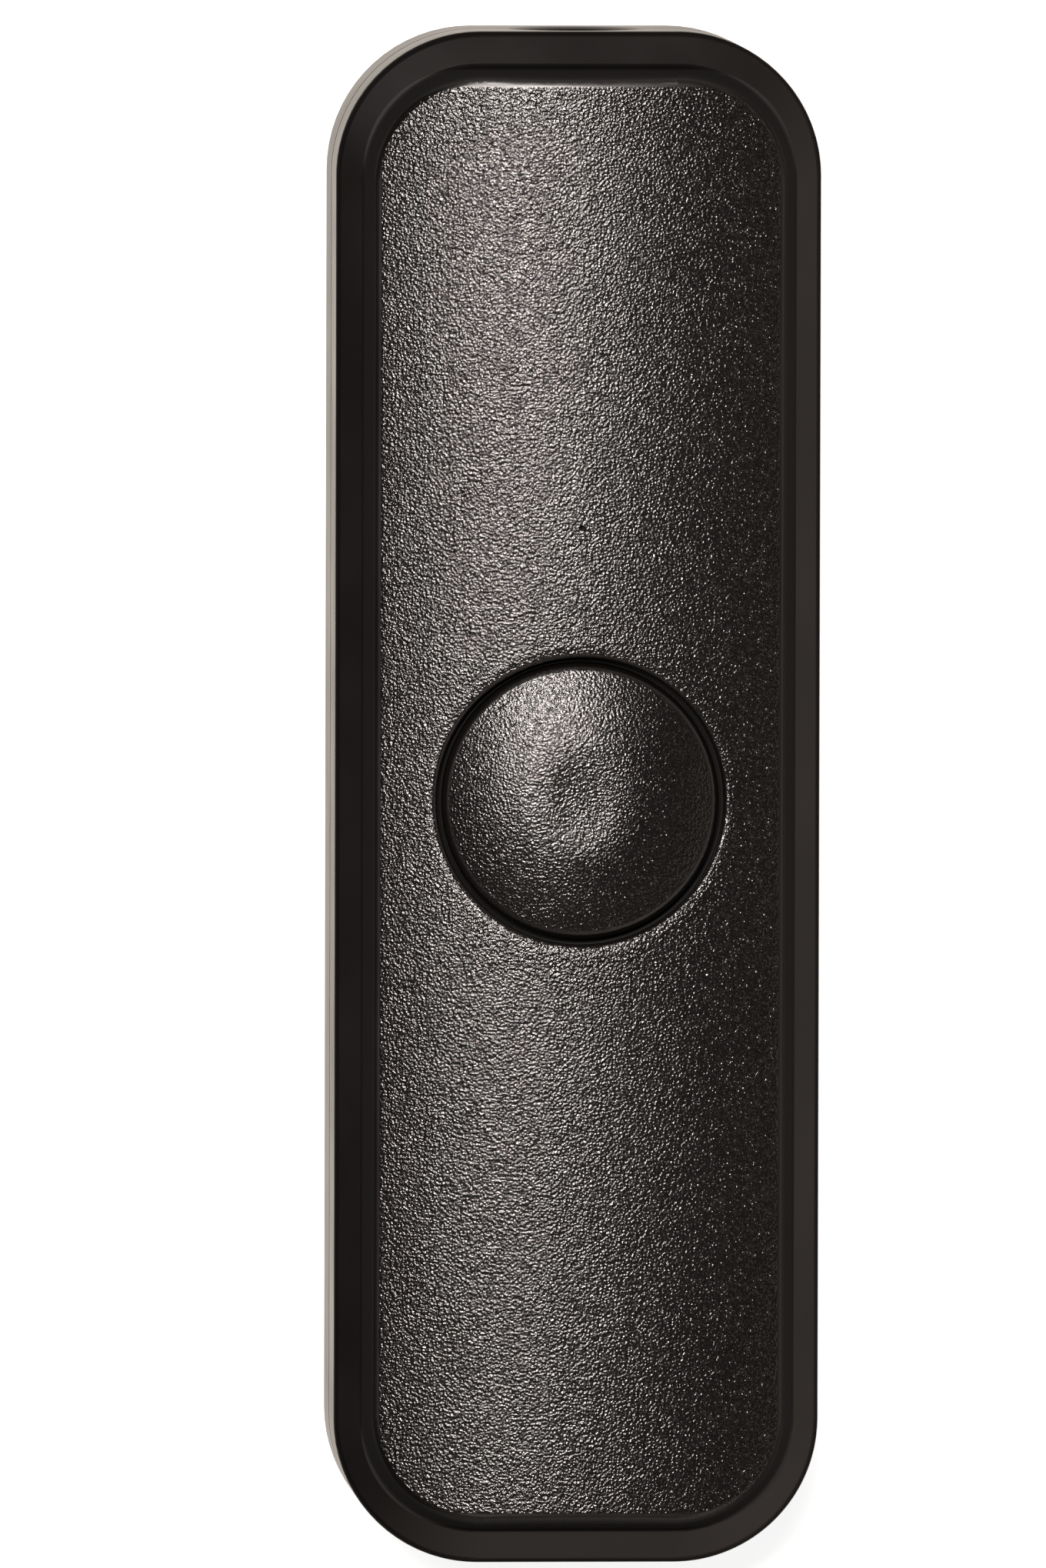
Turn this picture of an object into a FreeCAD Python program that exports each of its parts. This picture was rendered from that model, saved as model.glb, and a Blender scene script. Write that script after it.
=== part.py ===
import FreeCAD, Part
import math
import os
import Sketcher

# Inline cord dimmer with a round push button.
# X is across the casing, Y along it with the indicator towards +Y, and Z is up.
# The origin is the centre of the bottom face. All sizes are millimetres.

SIZES = [
    # Casing outside
    ("body_length", 101.0, "casing length along Y"),
    ("body_width", 32.0, "casing width across X"),
    ("corner_radius", 9.5, "plan radius of the casing corners"),
    ("base_bevel_rise", 2.0, "height of the bevel round the bottom face"),
    ("base_bevel_run", 1.2, "inset of the bevel round the bottom face"),
    ("parting_height", 8.2, "height of the joint between the two shells"),
    ("rim_height", 14.2, "top of the upright wall"),
    ("rim_round", 0.6, "round on the rim edge"),
    ("bevel_rise", 0.9, "rise of the sloping border round the panel"),
    ("bevel_side_run", 1.75, "plan width of that border along the sides"),
    ("bevel_end_run", 2.22, "plan width of that border at the ends"),
    ("step_rise", 1.3, "height of the step up to the panel at its long edges"),
    ("step_side_run", 0.75, "plan width of the step along the sides"),
    ("step_end_run", 0.74, "plan width of the step at the ends"),
    ("panel_corner_radius", 6.1, "plan radius of the panel corners"),
    ("step_foot_round", 0.3, "hollow round at the foot of the step"),
    ("panel_edge_round", 0.6, "round on the panel edge"),
    ("crown_radius", 50.0, "radius of the panel's crown across X"),
    ("seam_chamfer", 0.2, "chamfer that makes the joint line between the shells"),
    # Casing inside
    ("wall_thickness", 2.0, "upright wall of both shells"),
    ("floor_thickness", 2.0, "floor of the lower shell"),
    ("roof_thickness", 1.7, "roof under the crown"),
    ("roof_end_gap", 0.5, "raised part of the roof past the clamp's outer face"),
    ("boss_roof_bite", 2.1, "upper bosses into the border's underside"),
    ("rib_roof_bite", 0.4, "upper inlet ribs into the border's underside"),
    ("roof_side_wall", 1.5, "wall beside the raised part of the roof"),
    ("border_thickness", 1.6, "thickness under the sloping border"),
    ("lip_thickness", 0.9, "lip of the lower shell that stands inside the upper one"),
    ("lip_height", 1.2, "height of that lip over the joint"),
    ("lip_clearance", 0.1, "gap round the lip"),
    # Case screws
    ("case_boss_radius", 2.6, "bosses that the case screws join"),
    ("case_boss_gap", 0.2, "gap between an upper boss and the wall"),
    ("case_screw_radius", 1.4, "shank of a case screw"),
    ("case_screw_length", 9.5, "shank length of a case screw"),
    ("case_head_radius", 1.75, "head of a case screw"),
    ("case_head_height", 1.5, "head height of a case screw"),
    ("case_counterbore_depth", 3.0, "depth of the screw holes in the bottom face"),
    ("screw_hole_clearance", 0.1, "gap round a screw shank or head"),
    ("pilot_clearance", 0.02, "gap round a shank in its pilot hole"),
    ("pilot_spare_depth", 0.8, "pilot hole left below a screw's tip"),
    ("recess_length", 1.9, "cross recess in a screw head, arm to arm"),
    ("recess_width", 0.45, "width of a recess arm"),
    ("recess_depth", 0.8, "depth of a recess"),
    # Cord inlets and clamps
    ("cord_bore_radius", 3.8, "bore of a cord inlet"),
    ("inlet_flare", 1.0, "rounded mouth of a cord inlet"),
    ("sleeve_slot", 1.8, "slot behind the end wall for a cord sleeve's flange"),
    ("inlet_rib_thickness", 1.5, "rib behind the sleeve slot"),
    ("inlet_rib_half_width", 6.5, "half the width of that rib"),
    ("clamp_gap", 3.8, "space between the inlet rib and the clamp"),
    ("clamp_length", 4.5, "cord clamp along Y"),
    ("clamp_half_width", 9.0, "half the width of a cord clamp"),
    ("clamp_channel_radius", 3.6, "round channel for the cord in the clamp"),
    ("clamp_crown", 0.7, "clamp bar thickness over the channel"),
    ("clamp_parting_gap", 0.3, "gap between a clamp bar and its block"),
    ("clamp_screw_spacing", 6.3, "clamp screw from the centre line"),
    ("clamp_screw_radius", 1.3, "shank of a clamp screw"),
    ("clamp_screw_length", 8.0, "shank length of a clamp screw"),
    ("clamp_head_radius", 2.3, "head of a clamp screw"),
    ("clamp_head_height", 1.5, "head height of a clamp screw"),
    ("tooth_height", 0.4, "gripping ridges in the clamp channel"),
    ("tooth_width", 0.6, "width of a gripping ridge"),
    ("tooth_spread", 0.9, "gripping ridge from the clamp's centre"),
    # Button
    ("button_hole_radius", 9.45, "hole for the button in the panel"),
    ("button_hole_round", 0.3, "round on the edge of that hole"),
    ("button_gap", 0.2, "gap round the button's skirt in its hole"),
    ("button_draft", 0.25, "narrowing of the skirt from the flange to the top"),
    ("button_edge_drop", 0.4, "button's rim below the panel's crown, along Y"),
    ("button_edge_round", 0.6, "round on the button's rim"),
    ("button_crown_across", 26.0, "radius of the button's crown across X"),
    ("button_crown_along", 53.0, "radius of the button's crown along Y"),
    ("dish_depth", 0.2, "depth of the dish in the button"),
    ("dish_hollow", 60.0, "hollow radius of the dish"),
    ("dish_blend", 13.0, "round between the dish and the crown"),
    ("button_flange", 1.2, "flange that keeps the button in"),
    ("button_flange_height", 1.0, "height of that flange"),
    ("button_seat_gap", 0.1, "gap between the flange and its seat"),
    ("button_skirt_wall", 1.3, "thickness of the button's skirt"),
    ("button_roof", 0.8, "thickness of the button under its lowest rim"),
    ("button_post_radius", 2.6, "post under the button"),
    ("button_rib_thickness", 1.0, "ribs inside the button"),
    ("button_rib_height", 1.6, "height of those ribs"),
    ("button_rib_bite", 0.3, "those ribs into the button's roof and skirt"),
    ("button_post_gap", 0.05, "gap between the post and the switch plunger"),
    ("button_travel", 0.4, "travel of the button"),
    ("collar_clearance", 0.2, "gap round the flange in its collar"),
    ("collar_wall", 1.4, "wall of the collar that guides the flange"),
    ("collar_depth", 2.1, "depth of the collar below the flange's seat"),
    ("collar_seat", 2.1, "collar seat below the panel's crown at the hole edge"),
    # Board and its posts
    ("board_standoff", 3.4, "space between the floor and the board"),
    ("board_thickness", 1.6, "circuit board"),
    ("board_side_gap", 0.4, "gap between the board and the wall"),
    ("board_end_gap", 1.5, "gap between the board and the clamp blocks"),
    ("board_corner_radius", 1.5, "corner radius of the board"),
    ("post_radius", 1.8, "posts under the board"),
    ("post_edge_distance", 2.4, "post centre from the board's long edge"),
    ("board_screw_radius", 1.0, "shank of a board screw"),
    ("board_screw_length", 3.8, "shank length of a board screw"),
    ("board_head_radius", 1.9, "head of a board screw"),
    ("board_head_height", 1.3, "head height of a board screw"),
    ("locating_pin_radius", 0.9, "pin on two of the posts"),
    ("locating_pin_height", 0.8, "pin above the board"),
    # Push switch
    ("switch_size", 12.0, "side of the square switch housing"),
    ("switch_height", 3.4, "height of the switch housing"),
    ("switch_corner_radius", 0.6, "corner radius of the housing"),
    ("switch_floor", 1.0, "floor of the housing's well"),
    ("well_radius", 3.7, "well in the housing"),
    ("cover_thickness", 0.3, "sheet cover of the switch"),
    ("plunger_radius", 3.4, "flange of the plunger"),
    ("plunger_flange_height", 1.3, "height of that flange"),
    ("plunger_stem_radius", 2.0, "stem of the plunger"),
    ("plunger_stem_height", 2.0, "stem over the cover"),
    ("plunger_gap", 0.1, "gap round the stem and under the cover"),
    ("dome_radius", 3.0, "sprung contact dome"),
    ("dome_height", 0.9, "height of the contact dome"),
    ("dome_thickness", 0.2, "sheet of the contact dome"),
    ("leg_width", 1.0, "switch leg along Y"),
    ("leg_length", 1.2, "switch leg out from the housing"),
    ("leg_thickness", 0.3, "sheet of a switch leg"),
    ("leg_spacing", 5.0, "distance between two legs on a side"),
    # Indicator
    ("indicator_distance", 18.0, "indicator from the button's centre"),
    ("pinhole_radius", 0.2, "pinhole in the panel"),
    ("pinhole_depth", 1.0, "length of that pinhole"),
    ("guide_radius", 1.2, "light guide"),
    ("guide_foot_bevel", 0.25, "bevel at the light guide's foot"),
    ("guide_tip_bevel", 0.6, "bevel at the light guide's tip"),
    ("guide_clearance", 0.1, "gap round the light guide in its socket"),
    ("guide_air_gap", 0.3, "gap at both ends of the light guide"),
    ("guide_socket_wall", 0.9, "wall of the light guide's socket"),
    ("guide_socket_length", 5.0, "length of that socket below its end"),
    ("led_length", 3.2, "indicator light along X"),
    ("led_width", 1.6, "indicator light along Y"),
    ("led_base_height", 0.6, "base of the indicator light"),
    ("led_lens_length", 2.2, "lens of the indicator light along X"),
    ("led_lens_width", 1.3, "lens along Y"),
    ("led_lens_height", 0.6, "height of that lens"),
    # Terminal blocks
    ("terminal_width", 11.0, "terminal block across X"),
    ("terminal_depth", 8.2, "terminal block along Y"),
    ("terminal_height", 7.3, "terminal block"),
    ("terminal_inset", 0.7, "terminal block from the board's end"),
    ("pole_pitch", 5.0, "distance between the two poles"),
    ("pole_width", 3.8, "width of a wire opening"),
    ("pole_height", 4.4, "height of a wire opening"),
    ("pole_depth", 6.0, "depth of a wire opening"),
    ("pole_floor", 1.1, "wire opening above the block's base"),
    ("cage_clearance", 0.1, "gap round a clamp cage"),
    ("cage_wall", 0.6, "sheet of a clamp cage"),
    ("cage_length", 4.2, "clamp cage along Y"),
    ("cage_inset", 0.8, "clamp cage behind the block's face"),
    ("terminal_screw_radius", 0.9, "shank of a terminal screw"),
    ("terminal_screw_reach", 1.6, "terminal screw below the cage's top"),
    ("terminal_head_radius", 1.6, "head of a terminal screw"),
    ("terminal_head_height", 1.2, "head height of a terminal screw"),
    # Parts on the board
    ("transistor_width", 6.6, "power transistor across X"),
    ("transistor_depth", 5.5, "power transistor along Y"),
    ("transistor_height", 2.3, "power transistor"),
    ("transistor_tab", 0.6, "tab beyond the transistor's body"),
    ("tab_width", 5.3, "width of that tab"),
    ("lead_width", 0.8, "flat lead of a board part"),
    ("lead_thickness", 0.4, "sheet of such a lead"),
    ("lead_reach", 0.8, "length of a transistor lead"),
    ("lead_spacing", 4.6, "distance between a transistor's leads"),
    ("part_gap", 0.7, "least gap between neighbouring parts"),
    ("choke_radius", 3.8, "flange of the choke's core"),
    ("choke_height", 6.4, "height of the choke"),
    ("choke_flange_height", 1.0, "flanges of the choke's core"),
    ("choke_waist_radius", 1.8, "waist of the choke's core"),
    ("winding_gap", 0.05, "gap round the winding"),
    ("winding_inset", 0.4, "winding inside the core's flanges"),
    ("varistor_radius", 3.25, "disc of the varistor"),
    ("varistor_thickness", 3.4, "thickness of the varistor"),
    ("coating_round", 1.0, "round on the varistor's coating"),
    ("varistor_standoff", 0.8, "varistor above the board"),
    ("varistor_lead_spacing", 4.6, "distance between the varistor's leads"),
    ("wire_radius", 0.3, "round lead of a board part"),
    ("film_cap_width", 8.5, "film capacitor across X"),
    ("film_cap_depth", 5.0, "film capacitor along Y"),
    ("film_cap_height", 6.2, "film capacitor"),
    ("film_cap_round", 0.4, "rounds on the film capacitor"),
    ("can_radius", 3.15, "electrolytic capacitor"),
    ("can_length", 10.0, "length of that capacitor"),
    ("can_lead_spacing", 2.0, "distance between the capacitor's leads"),
    ("can_bead_width", 0.8, "rolled bead round the capacitor's can"),
    ("can_bead_depth", 0.3, "depth of that bead"),
    ("diode_length", 4.3, "rectifier diode along X"),
    ("diode_width", 2.6, "rectifier diode along Y"),
    ("diode_height", 2.2, "rectifier diode"),
    ("strap_width", 1.3, "connecting strap of a diode along Y"),
    ("strap_height", 1.3, "height of that strap"),
    ("diode_pitch", 5.6, "distance between two diodes"),
    ("fuse_length", 9.0, "fuse along Y"),
    ("fuse_side", 3.1, "square section of the fuse"),
    ("fuse_cap", 1.6, "metal end cap of the fuse"),
    ("fuse_cap_rim", 0.1, "end cap proud of the fuse's tube"),
    ("chip_width", 3.0, "control chip across X"),
    ("chip_length", 5.0, "control chip along Y"),
    ("chip_height", 1.2, "control chip"),
    ("chip_lead_reach", 0.8, "control chip's leads"),
    ("chip_lead_pitch", 1.27, "distance between those leads"),
    ("chip_lead_width", 0.4, "width of those leads"),
    ("chip_lead_thickness", 0.2, "sheet of those leads"),
    ("resistor_length", 2.0, "chip resistor along X"),
    ("resistor_width", 1.25, "chip resistor along Y"),
    ("resistor_height", 0.6, "chip resistor"),
    ("resistor_end_length", 0.4, "metal end of a chip resistor"),
    ("resistor_end_rim", 0.04, "metal end proud of the resistor"),
    ("resistor_count", 6, "chip resistors in the row"),
    ("resistor_pitch", 2.4, "distance between two chip resistors"),
]

# Heights and places that follow from the sizes. Each may use the ones above it.
PLACES = [
    ("half_length", "Sizes.body_length / 2"),
    ("half_width", "Sizes.body_width / 2"),
    ("border_height", "Sizes.rim_height + Sizes.bevel_rise"),
    ("panel_edge_height", "Places.border_height + Sizes.step_rise"),
    ("foot_width", "Sizes.body_width - 2 * Sizes.bevel_side_run"),
    ("foot_length", "Sizes.body_length - 2 * Sizes.bevel_end_run"),
    ("panel_half_width", "Places.foot_width / 2 - Sizes.step_side_run"),
    ("crown_sagitta",
     "Sizes.crown_radius - sqrt(Sizes.crown_radius ^ 2 - Places.panel_half_width ^ 2)"),
    ("crown_height", "Places.panel_edge_height + Places.crown_sagitta"),
    ("crown_axis_height", "Places.crown_height - Sizes.crown_radius"),
    ("block_top", "Places.crown_height + Sizes.panel_edge_round"),
    ("block_rise", "Places.block_top - Places.border_height"),
    ("top_width",
     "Places.foot_width - 2 * Sizes.step_side_run * Places.block_rise / Sizes.step_rise"),
    ("top_length",
     "Places.foot_length - 2 * Sizes.step_end_run * Places.block_rise"
     " / (Places.crown_height - Places.border_height)"),
    ("cavity_half_width", "Places.half_width - Sizes.wall_thickness"),
    ("cavity_half_length", "Places.half_length - Sizes.wall_thickness"),
    ("cavity_corner_radius", "Sizes.corner_radius - Sizes.wall_thickness"),
    ("cavity_top", "Sizes.rim_height - Sizes.border_thickness"),
    ("roof_half_width", "Places.panel_half_width - Sizes.roof_side_wall"),
    ("roof_axis_radius", "Sizes.crown_radius - Sizes.roof_thickness"),
    ("roof_edge_height",
     "Places.crown_axis_height + sqrt(Places.roof_axis_radius ^ 2 - Places.roof_half_width ^ 2)"),
    # Chain of pieces from the end wall inwards
    ("slot_end", "Places.cavity_half_length - Sizes.sleeve_slot"),
    ("rib_end", "Places.slot_end - Sizes.inlet_rib_thickness"),
    ("clamp_end", "Places.rib_end - Sizes.clamp_gap"),
    ("clamp_centre", "Places.clamp_end - Sizes.clamp_length / 2"),
    ("board_half_length", "Places.clamp_end - Sizes.clamp_length - Sizes.board_end_gap"),
    ("board_half_width", "Places.cavity_half_width - Sizes.board_side_gap"),
    ("terminal_centre",
     "Places.board_half_length - Sizes.terminal_inset - Sizes.terminal_depth / 2"),
    ("roof_half_length", "Places.clamp_end + Sizes.roof_end_gap"),
    # Heights from the floor up
    ("board_base", "Sizes.floor_thickness + Sizes.board_standoff"),
    ("board_top", "Places.board_base + Sizes.board_thickness"),
    ("cover_base", "Places.board_top + Sizes.switch_height"),
    ("cover_top", "Places.cover_base + Sizes.cover_thickness"),
    ("plunger_top", "Places.cover_top + Sizes.plunger_stem_height"),
    ("plunger_flange_top", "Places.cover_base - Sizes.plunger_gap"),
    ("plunger_base", "Places.plunger_flange_top - Sizes.plunger_flange_height"),
    ("well_floor", "Places.board_top + Sizes.switch_floor"),
    # Button
    ("skirt_radius", "Sizes.button_hole_radius - Sizes.button_gap"),
    ("button_radius", "Places.skirt_radius - Sizes.button_draft"),
    ("button_edge_height", "Places.crown_height - Sizes.button_edge_drop"),
    ("button_sagitta_along",
     "Sizes.button_crown_along - sqrt(Sizes.button_crown_along ^ 2 - Places.button_radius ^ 2)"),
    ("button_sagitta_across",
     "Sizes.button_crown_across - sqrt(Sizes.button_crown_across ^ 2 - Places.button_radius ^ 2)"),
    ("button_top", "Places.button_edge_height + Places.button_sagitta_along"),
    ("button_low_edge", "Places.button_top - Places.button_sagitta_across"),
    ("button_axis_height", "Places.button_top - Sizes.button_crown_along"),
    ("dish_floor", "Places.button_top - Sizes.dish_depth"),
    ("flange_radius", "Places.skirt_radius + Sizes.button_flange"),
    ("hole_edge_height",
     "Places.crown_axis_height + sqrt(Sizes.crown_radius ^ 2 - Sizes.button_hole_radius ^ 2)"),
    ("seat_height", "Places.hole_edge_height - Sizes.collar_seat"),
    ("flange_top", "Places.seat_height - Sizes.button_seat_gap"),
    ("flange_base", "Places.flange_top - Sizes.button_flange_height"),
    ("button_inner_radius", "Places.button_radius - Sizes.button_skirt_wall"),
    ("button_inner_top", "Places.button_low_edge - Sizes.button_roof"),
    ("post_base", "Places.plunger_top + Sizes.button_post_gap"),
    ("collar_inner_radius", "Places.flange_radius + Sizes.collar_clearance"),
    ("collar_outer_radius", "Places.collar_inner_radius + Sizes.collar_wall"),
    ("collar_base", "Places.seat_height - Sizes.collar_depth"),
    # Case screws
    ("case_boss_reach",
     "Places.cavity_corner_radius - Sizes.case_boss_radius - Sizes.case_boss_gap"),
    ("case_screw_x", "Places.half_width - Sizes.corner_radius + Places.case_boss_reach * sqrt(0.5)"),
    ("case_screw_y", "Places.half_length - Sizes.corner_radius + Places.case_boss_reach * sqrt(0.5)"),
    ("case_screw_tip", "Sizes.case_counterbore_depth + Sizes.case_screw_length"),
    ("case_pilot_top", "Places.case_screw_tip + Sizes.pilot_spare_depth"),
    # Cord clamp
    ("clamp_block_top", "Sizes.parting_height"),
    ("clamp_bar_base", "Places.clamp_block_top + Sizes.clamp_parting_gap"),
    ("clamp_bar_top",
     "Sizes.parting_height + Sizes.clamp_channel_radius + Sizes.clamp_crown"),
    ("clamp_screw_tip", "Places.clamp_bar_top - Sizes.clamp_screw_length"),
    # Board posts
    ("post_x", "Places.board_half_width - Sizes.post_edge_distance"),
    ("board_screw_tip", "Places.board_top - Sizes.board_screw_length"),
    # Light guide
    ("socket_end", "Places.crown_height - Sizes.pinhole_depth"),
    ("socket_base", "Places.socket_end - Sizes.guide_socket_length"),
    ("led_top", "Places.board_top + Sizes.led_base_height + Sizes.led_lens_height"),
    ("guide_base", "Places.led_top + Sizes.guide_air_gap"),
    ("guide_length", "Places.socket_end - Sizes.guide_air_gap - Places.guide_base"),
    # Terminal poles
    ("pole_base", "Places.board_top + Sizes.pole_floor"),
    ("terminal_top", "Places.board_top + Sizes.terminal_height"),
    ("cage_top", "Places.pole_base + Sizes.pole_height - Sizes.cage_clearance"),
    ("cage_width", "Sizes.pole_width - 2 * Sizes.cage_clearance"),
    ("cage_height", "Sizes.pole_height - 2 * Sizes.cage_clearance"),
    ("terminal_screw_tip", "Places.cage_top - Sizes.terminal_screw_reach"),
    # Bays on the board between the collar and the terminals
    ("terminal_inner", "Places.terminal_centre - Sizes.terminal_depth / 2"),
    ("switch_reach", "Sizes.switch_size / 2 + Sizes.leg_length"),
    ("side_bay_centre", "(Places.switch_reach + Places.board_half_width) / 2"),
    ("socket_radius",
     "Sizes.guide_radius + Sizes.guide_clearance + Sizes.guide_socket_wall"),
    ("choke_x", "(Places.socket_radius + Places.roof_half_width) / 2"),
    ("transistor_x", "Places.board_half_width / 2"),
    ("transistor_y",
     "Sizes.switch_size / 2 + Sizes.part_gap + Sizes.lead_reach + Sizes.transistor_depth / 2"),
    ("transistor_end",
     "Places.transistor_y + Sizes.transistor_depth / 2 + Sizes.transistor_tab"),
    ("upper_bay_centre", "(Places.transistor_end + Places.terminal_inner) / 2"),
    ("film_cap_x", "Places.roof_half_width - Sizes.part_gap - Sizes.film_cap_width / 2"),
    ("can_x", "Places.roof_half_width - Sizes.part_gap - Sizes.can_length / 2"),
    ("diode_y", "Sizes.switch_size / 2 + Sizes.part_gap + Sizes.resistor_width"
     " + Sizes.part_gap + Sizes.diode_width / 2"),
    ("resistor_y", "Sizes.switch_size / 2 + Sizes.part_gap + Sizes.resistor_width / 2"),
    ("lower_bay_centre",
     "(Places.diode_y + Sizes.diode_width / 2 + Places.terminal_inner) / 2"),
    ("cage_y", "Sizes.terminal_depth / 2 - Sizes.cage_inset - Sizes.cage_length / 2"),
]

doc = FreeCAD.newDocument("InlineCordDimmer")


# How far a cutting profile runs past the solid that it cuts
SPARE = "1"

# How near to a surface an edge counts as lying on it
NEAR = 1e-3

# Shapes of the small standard forms, as shares of their own size
TIP_FLAT = "0.3"
HEAD_SHOULDER = "0.6"
HEAD_FLAT = "0.7"

# Signs of the four quarters of the plan, and steps of four things in a row about its middle
FOUR_QUARTERS = ((1, 1), (-1, 1), (-1, -1), (1, -1))
FOUR_STEPS = (-1.5, -0.5, 0.5, 1.5)


def make_sheet():
    """Write the driving sizes into a spreadsheet, one named cell each."""
    sheet = doc.addObject("Spreadsheet::Sheet", "Sizes")
    for row, (alias, value, meaning) in enumerate(SIZES, start=1):
        sheet.set(f"A{row}", alias)
        sheet.set(f"B{row}", str(value))
        sheet.set(f"C{row}", meaning)
        sheet.setAlias(f"B{row}", alias)
    doc.recompute()


def make_places():
    """Keep the heights and places that follow from the sizes as bound properties."""
    places = doc.addObject("App::VarSet", "Places")
    for name, expression in PLACES:
        places.addProperty("App::PropertyFloat", name, "Places")
        places.setExpression(name, expression)
        doc.recompute()
    return places


make_sheet()
places = make_places()


def value_of(expression):
    """Give the present number of an expression."""
    return float(places.evalExpression(expression))


def bind(thing, path, expression):
    """Tie one property of an object to the sheet."""
    thing.setExpression(path, expression)


def put(thing, x="0", y="0", z="0"):
    """Bind an object's place."""
    bind(thing, "Placement.Base.x", x)
    bind(thing, "Placement.Base.y", y)
    bind(thing, "Placement.Base.z", z)
    return thing


def new_body(label, x="0", y="0", z="0"):
    """Start a sub-part as a body with its own label and place."""
    body = doc.addObject("PartDesign::Body", label)
    body.Label = label
    return put(body, x, y, z)


def new_sketch(body, name, plane="XY_Plane", x="0", y="0", lift="0"):
    """Attach a sketch to one of the body's own origin planes, moved within and off that plane."""
    sketch = body.newObject("Sketcher::SketchObject", name)
    support = [feature for feature in body.Origin.OriginFeatures if feature.Role == plane][0]
    sketch.AttachmentSupport = [(support, "")]
    sketch.MapMode = "FlatFace"
    bind(sketch, "AttachmentOffset.Base.x", x)
    bind(sketch, "AttachmentOffset.Base.y", y)
    bind(sketch, "AttachmentOffset.Base.z", lift)
    return sketch


def limit(sketch, kind, first, expression):
    """Add a dimension to a sketch and bind it."""
    index = sketch.addConstraint(Sketcher.Constraint(kind, *first, value_of(expression)))
    bind(sketch, f"Constraints[{index}]", expression)


def draw_circle(sketch, radius, x="0", y="0"):
    """Draw a circle whose centre is given from the sketch's origin."""
    centre = FreeCAD.Vector(value_of(x), value_of(y), 0)
    circle = sketch.addGeometry(Part.Circle(centre, FreeCAD.Vector(0, 0, 1), value_of(radius)))
    limit(sketch, "Radius", (circle,), radius)
    limit(sketch, "DistanceX", (-1, 1, circle, 3), x)
    limit(sketch, "DistanceY", (-1, 1, circle, 3), y)


def arc_between(start, end, radius, side):
    """Give a circular edge from start to end, bulging to the left (1) or right (-1) of the way."""
    chord = end - start
    normal = FreeCAD.Vector(-chord.y, chord.x, 0).normalize()
    depth = math.sqrt(radius ** 2 - (chord.Length / 2) ** 2)
    centre = (start + end) / 2 - normal * depth * side
    from_angle = math.atan2(start.y - centre.y, start.x - centre.x)
    to_angle = math.atan2(end.y - centre.y, end.x - centre.x)
    circle = Part.Circle(centre, FreeCAD.Vector(0, 0, 1), radius)
    if side > 0:
        from_angle, to_angle = to_angle, from_angle
    if to_angle < from_angle:
        to_angle += 2 * math.pi
    return Part.ArcOfCircle(circle, from_angle, to_angle)


def draw_outline(sketch, corners):
    """Draw a closed outline. A corner is (x, y), or (x, y, radius, side) where an arc leaves it."""
    points = [FreeCAD.Vector(value_of(corner[0]), value_of(corner[1]), 0) for corner in corners]
    edges = []
    for index, corner in enumerate(corners):
        start = points[index]
        end = points[(index + 1) % len(points)]
        if len(corner) == 4:
            shape = arc_between(start, end, value_of(corner[2]), corner[3])
            edge = sketch.addGeometry(shape)
            limit(sketch, "Radius", (edge,), corner[2])
            first, last = (2, 1) if corner[3] > 0 else (1, 2)
        else:
            edge = sketch.addGeometry(Part.LineSegment(start, end))
            first, last = 1, 2
        edges.append((edge, first, last))
    for index, corner in enumerate(corners):
        edge, first, _ = edges[index]
        previous, _, last = edges[index - 1]
        sketch.addConstraint(Sketcher.Constraint("Coincident", previous, last, edge, first))
        limit(sketch, "DistanceX", (-1, 1, edge, first), corner[0])
        limit(sketch, "DistanceY", (-1, 1, edge, first), corner[1])


def draw_rectangle(sketch, half_x, half_y, x="0", y="0"):
    """Draw a rectangle round a point, given its half sides."""
    west, east = f"{x} - ({half_x})", f"{x} + ({half_x})"
    south, north = f"{y} - ({half_y})", f"{y} + ({half_y})"
    draw_outline(sketch, [(west, south), (east, south), (east, north), (west, north)])


def draw_rounded(sketch, half_x, half_y, radius):
    """Draw a rectangle with round corners about the sketch's origin."""
    corners = []
    for sign_x, sign_y in ((1, 1), (-1, 1), (-1, -1), (1, -1)):
        side = (f"{sign_x} * ({half_x})", f"{sign_y} * ({half_y} - ({radius}))")
        end = (f"{sign_x} * ({half_x} - ({radius}))", f"{sign_y} * ({half_y})")
        if sign_x * sign_y > 0:
            corners += [(*side, radius, -1), end]
        else:
            corners += [(*end, radius, -1), side]
    draw_outline(sketch, corners)


def pad(body, sketch, length, name, both_ways=False):
    """Raise a sketch along its plane's normal."""
    feature = body.newObject("PartDesign::Pad", name)
    feature.Profile = sketch
    feature.SideType = "Symmetric" if both_ways else "One side"
    bind(feature, "Length", length)
    body.Tip = feature
    return feature


def pocket(body, sketch, length, name, upwards=False, both_ways=False):
    """Cut a sketch into the body, against its plane's normal unless upwards."""
    feature = body.newObject("PartDesign::Pocket", name)
    feature.Profile = sketch
    feature.SideType = "Symmetric" if both_ways else "One side"
    feature.Reversed = upwards
    bind(feature, "Length", length)
    body.Tip = feature
    return feature


def turn(body, sketch, name, axis="V_Axis", cutting=False):
    """Revolve a sketch about its own upright axis, or the level one for H_Axis."""
    kind = "PartDesign::Groove" if cutting else "PartDesign::Revolution"
    feature = body.newObject(kind, name)
    feature.Profile = sketch
    feature.ReferenceAxis = (sketch, [axis])
    feature.Angle = 360.0
    body.Tip = feature
    return feature


def loft(body, lower, upper, name):
    """Join two sketches with straight flanks."""
    feature = body.newObject("PartDesign::AdditiveLoft", name)
    feature.Profile = lower
    feature.Sections = [upper]
    feature.Ruled = True
    body.Tip = feature
    return feature


def edges_where(feature, test):
    """Name the edges of a feature that pass a test."""
    doc.recompute()
    return [f"Edge{number}" for number, edge in enumerate(feature.Shape.Edges, start=1) if test(edge)]


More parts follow.
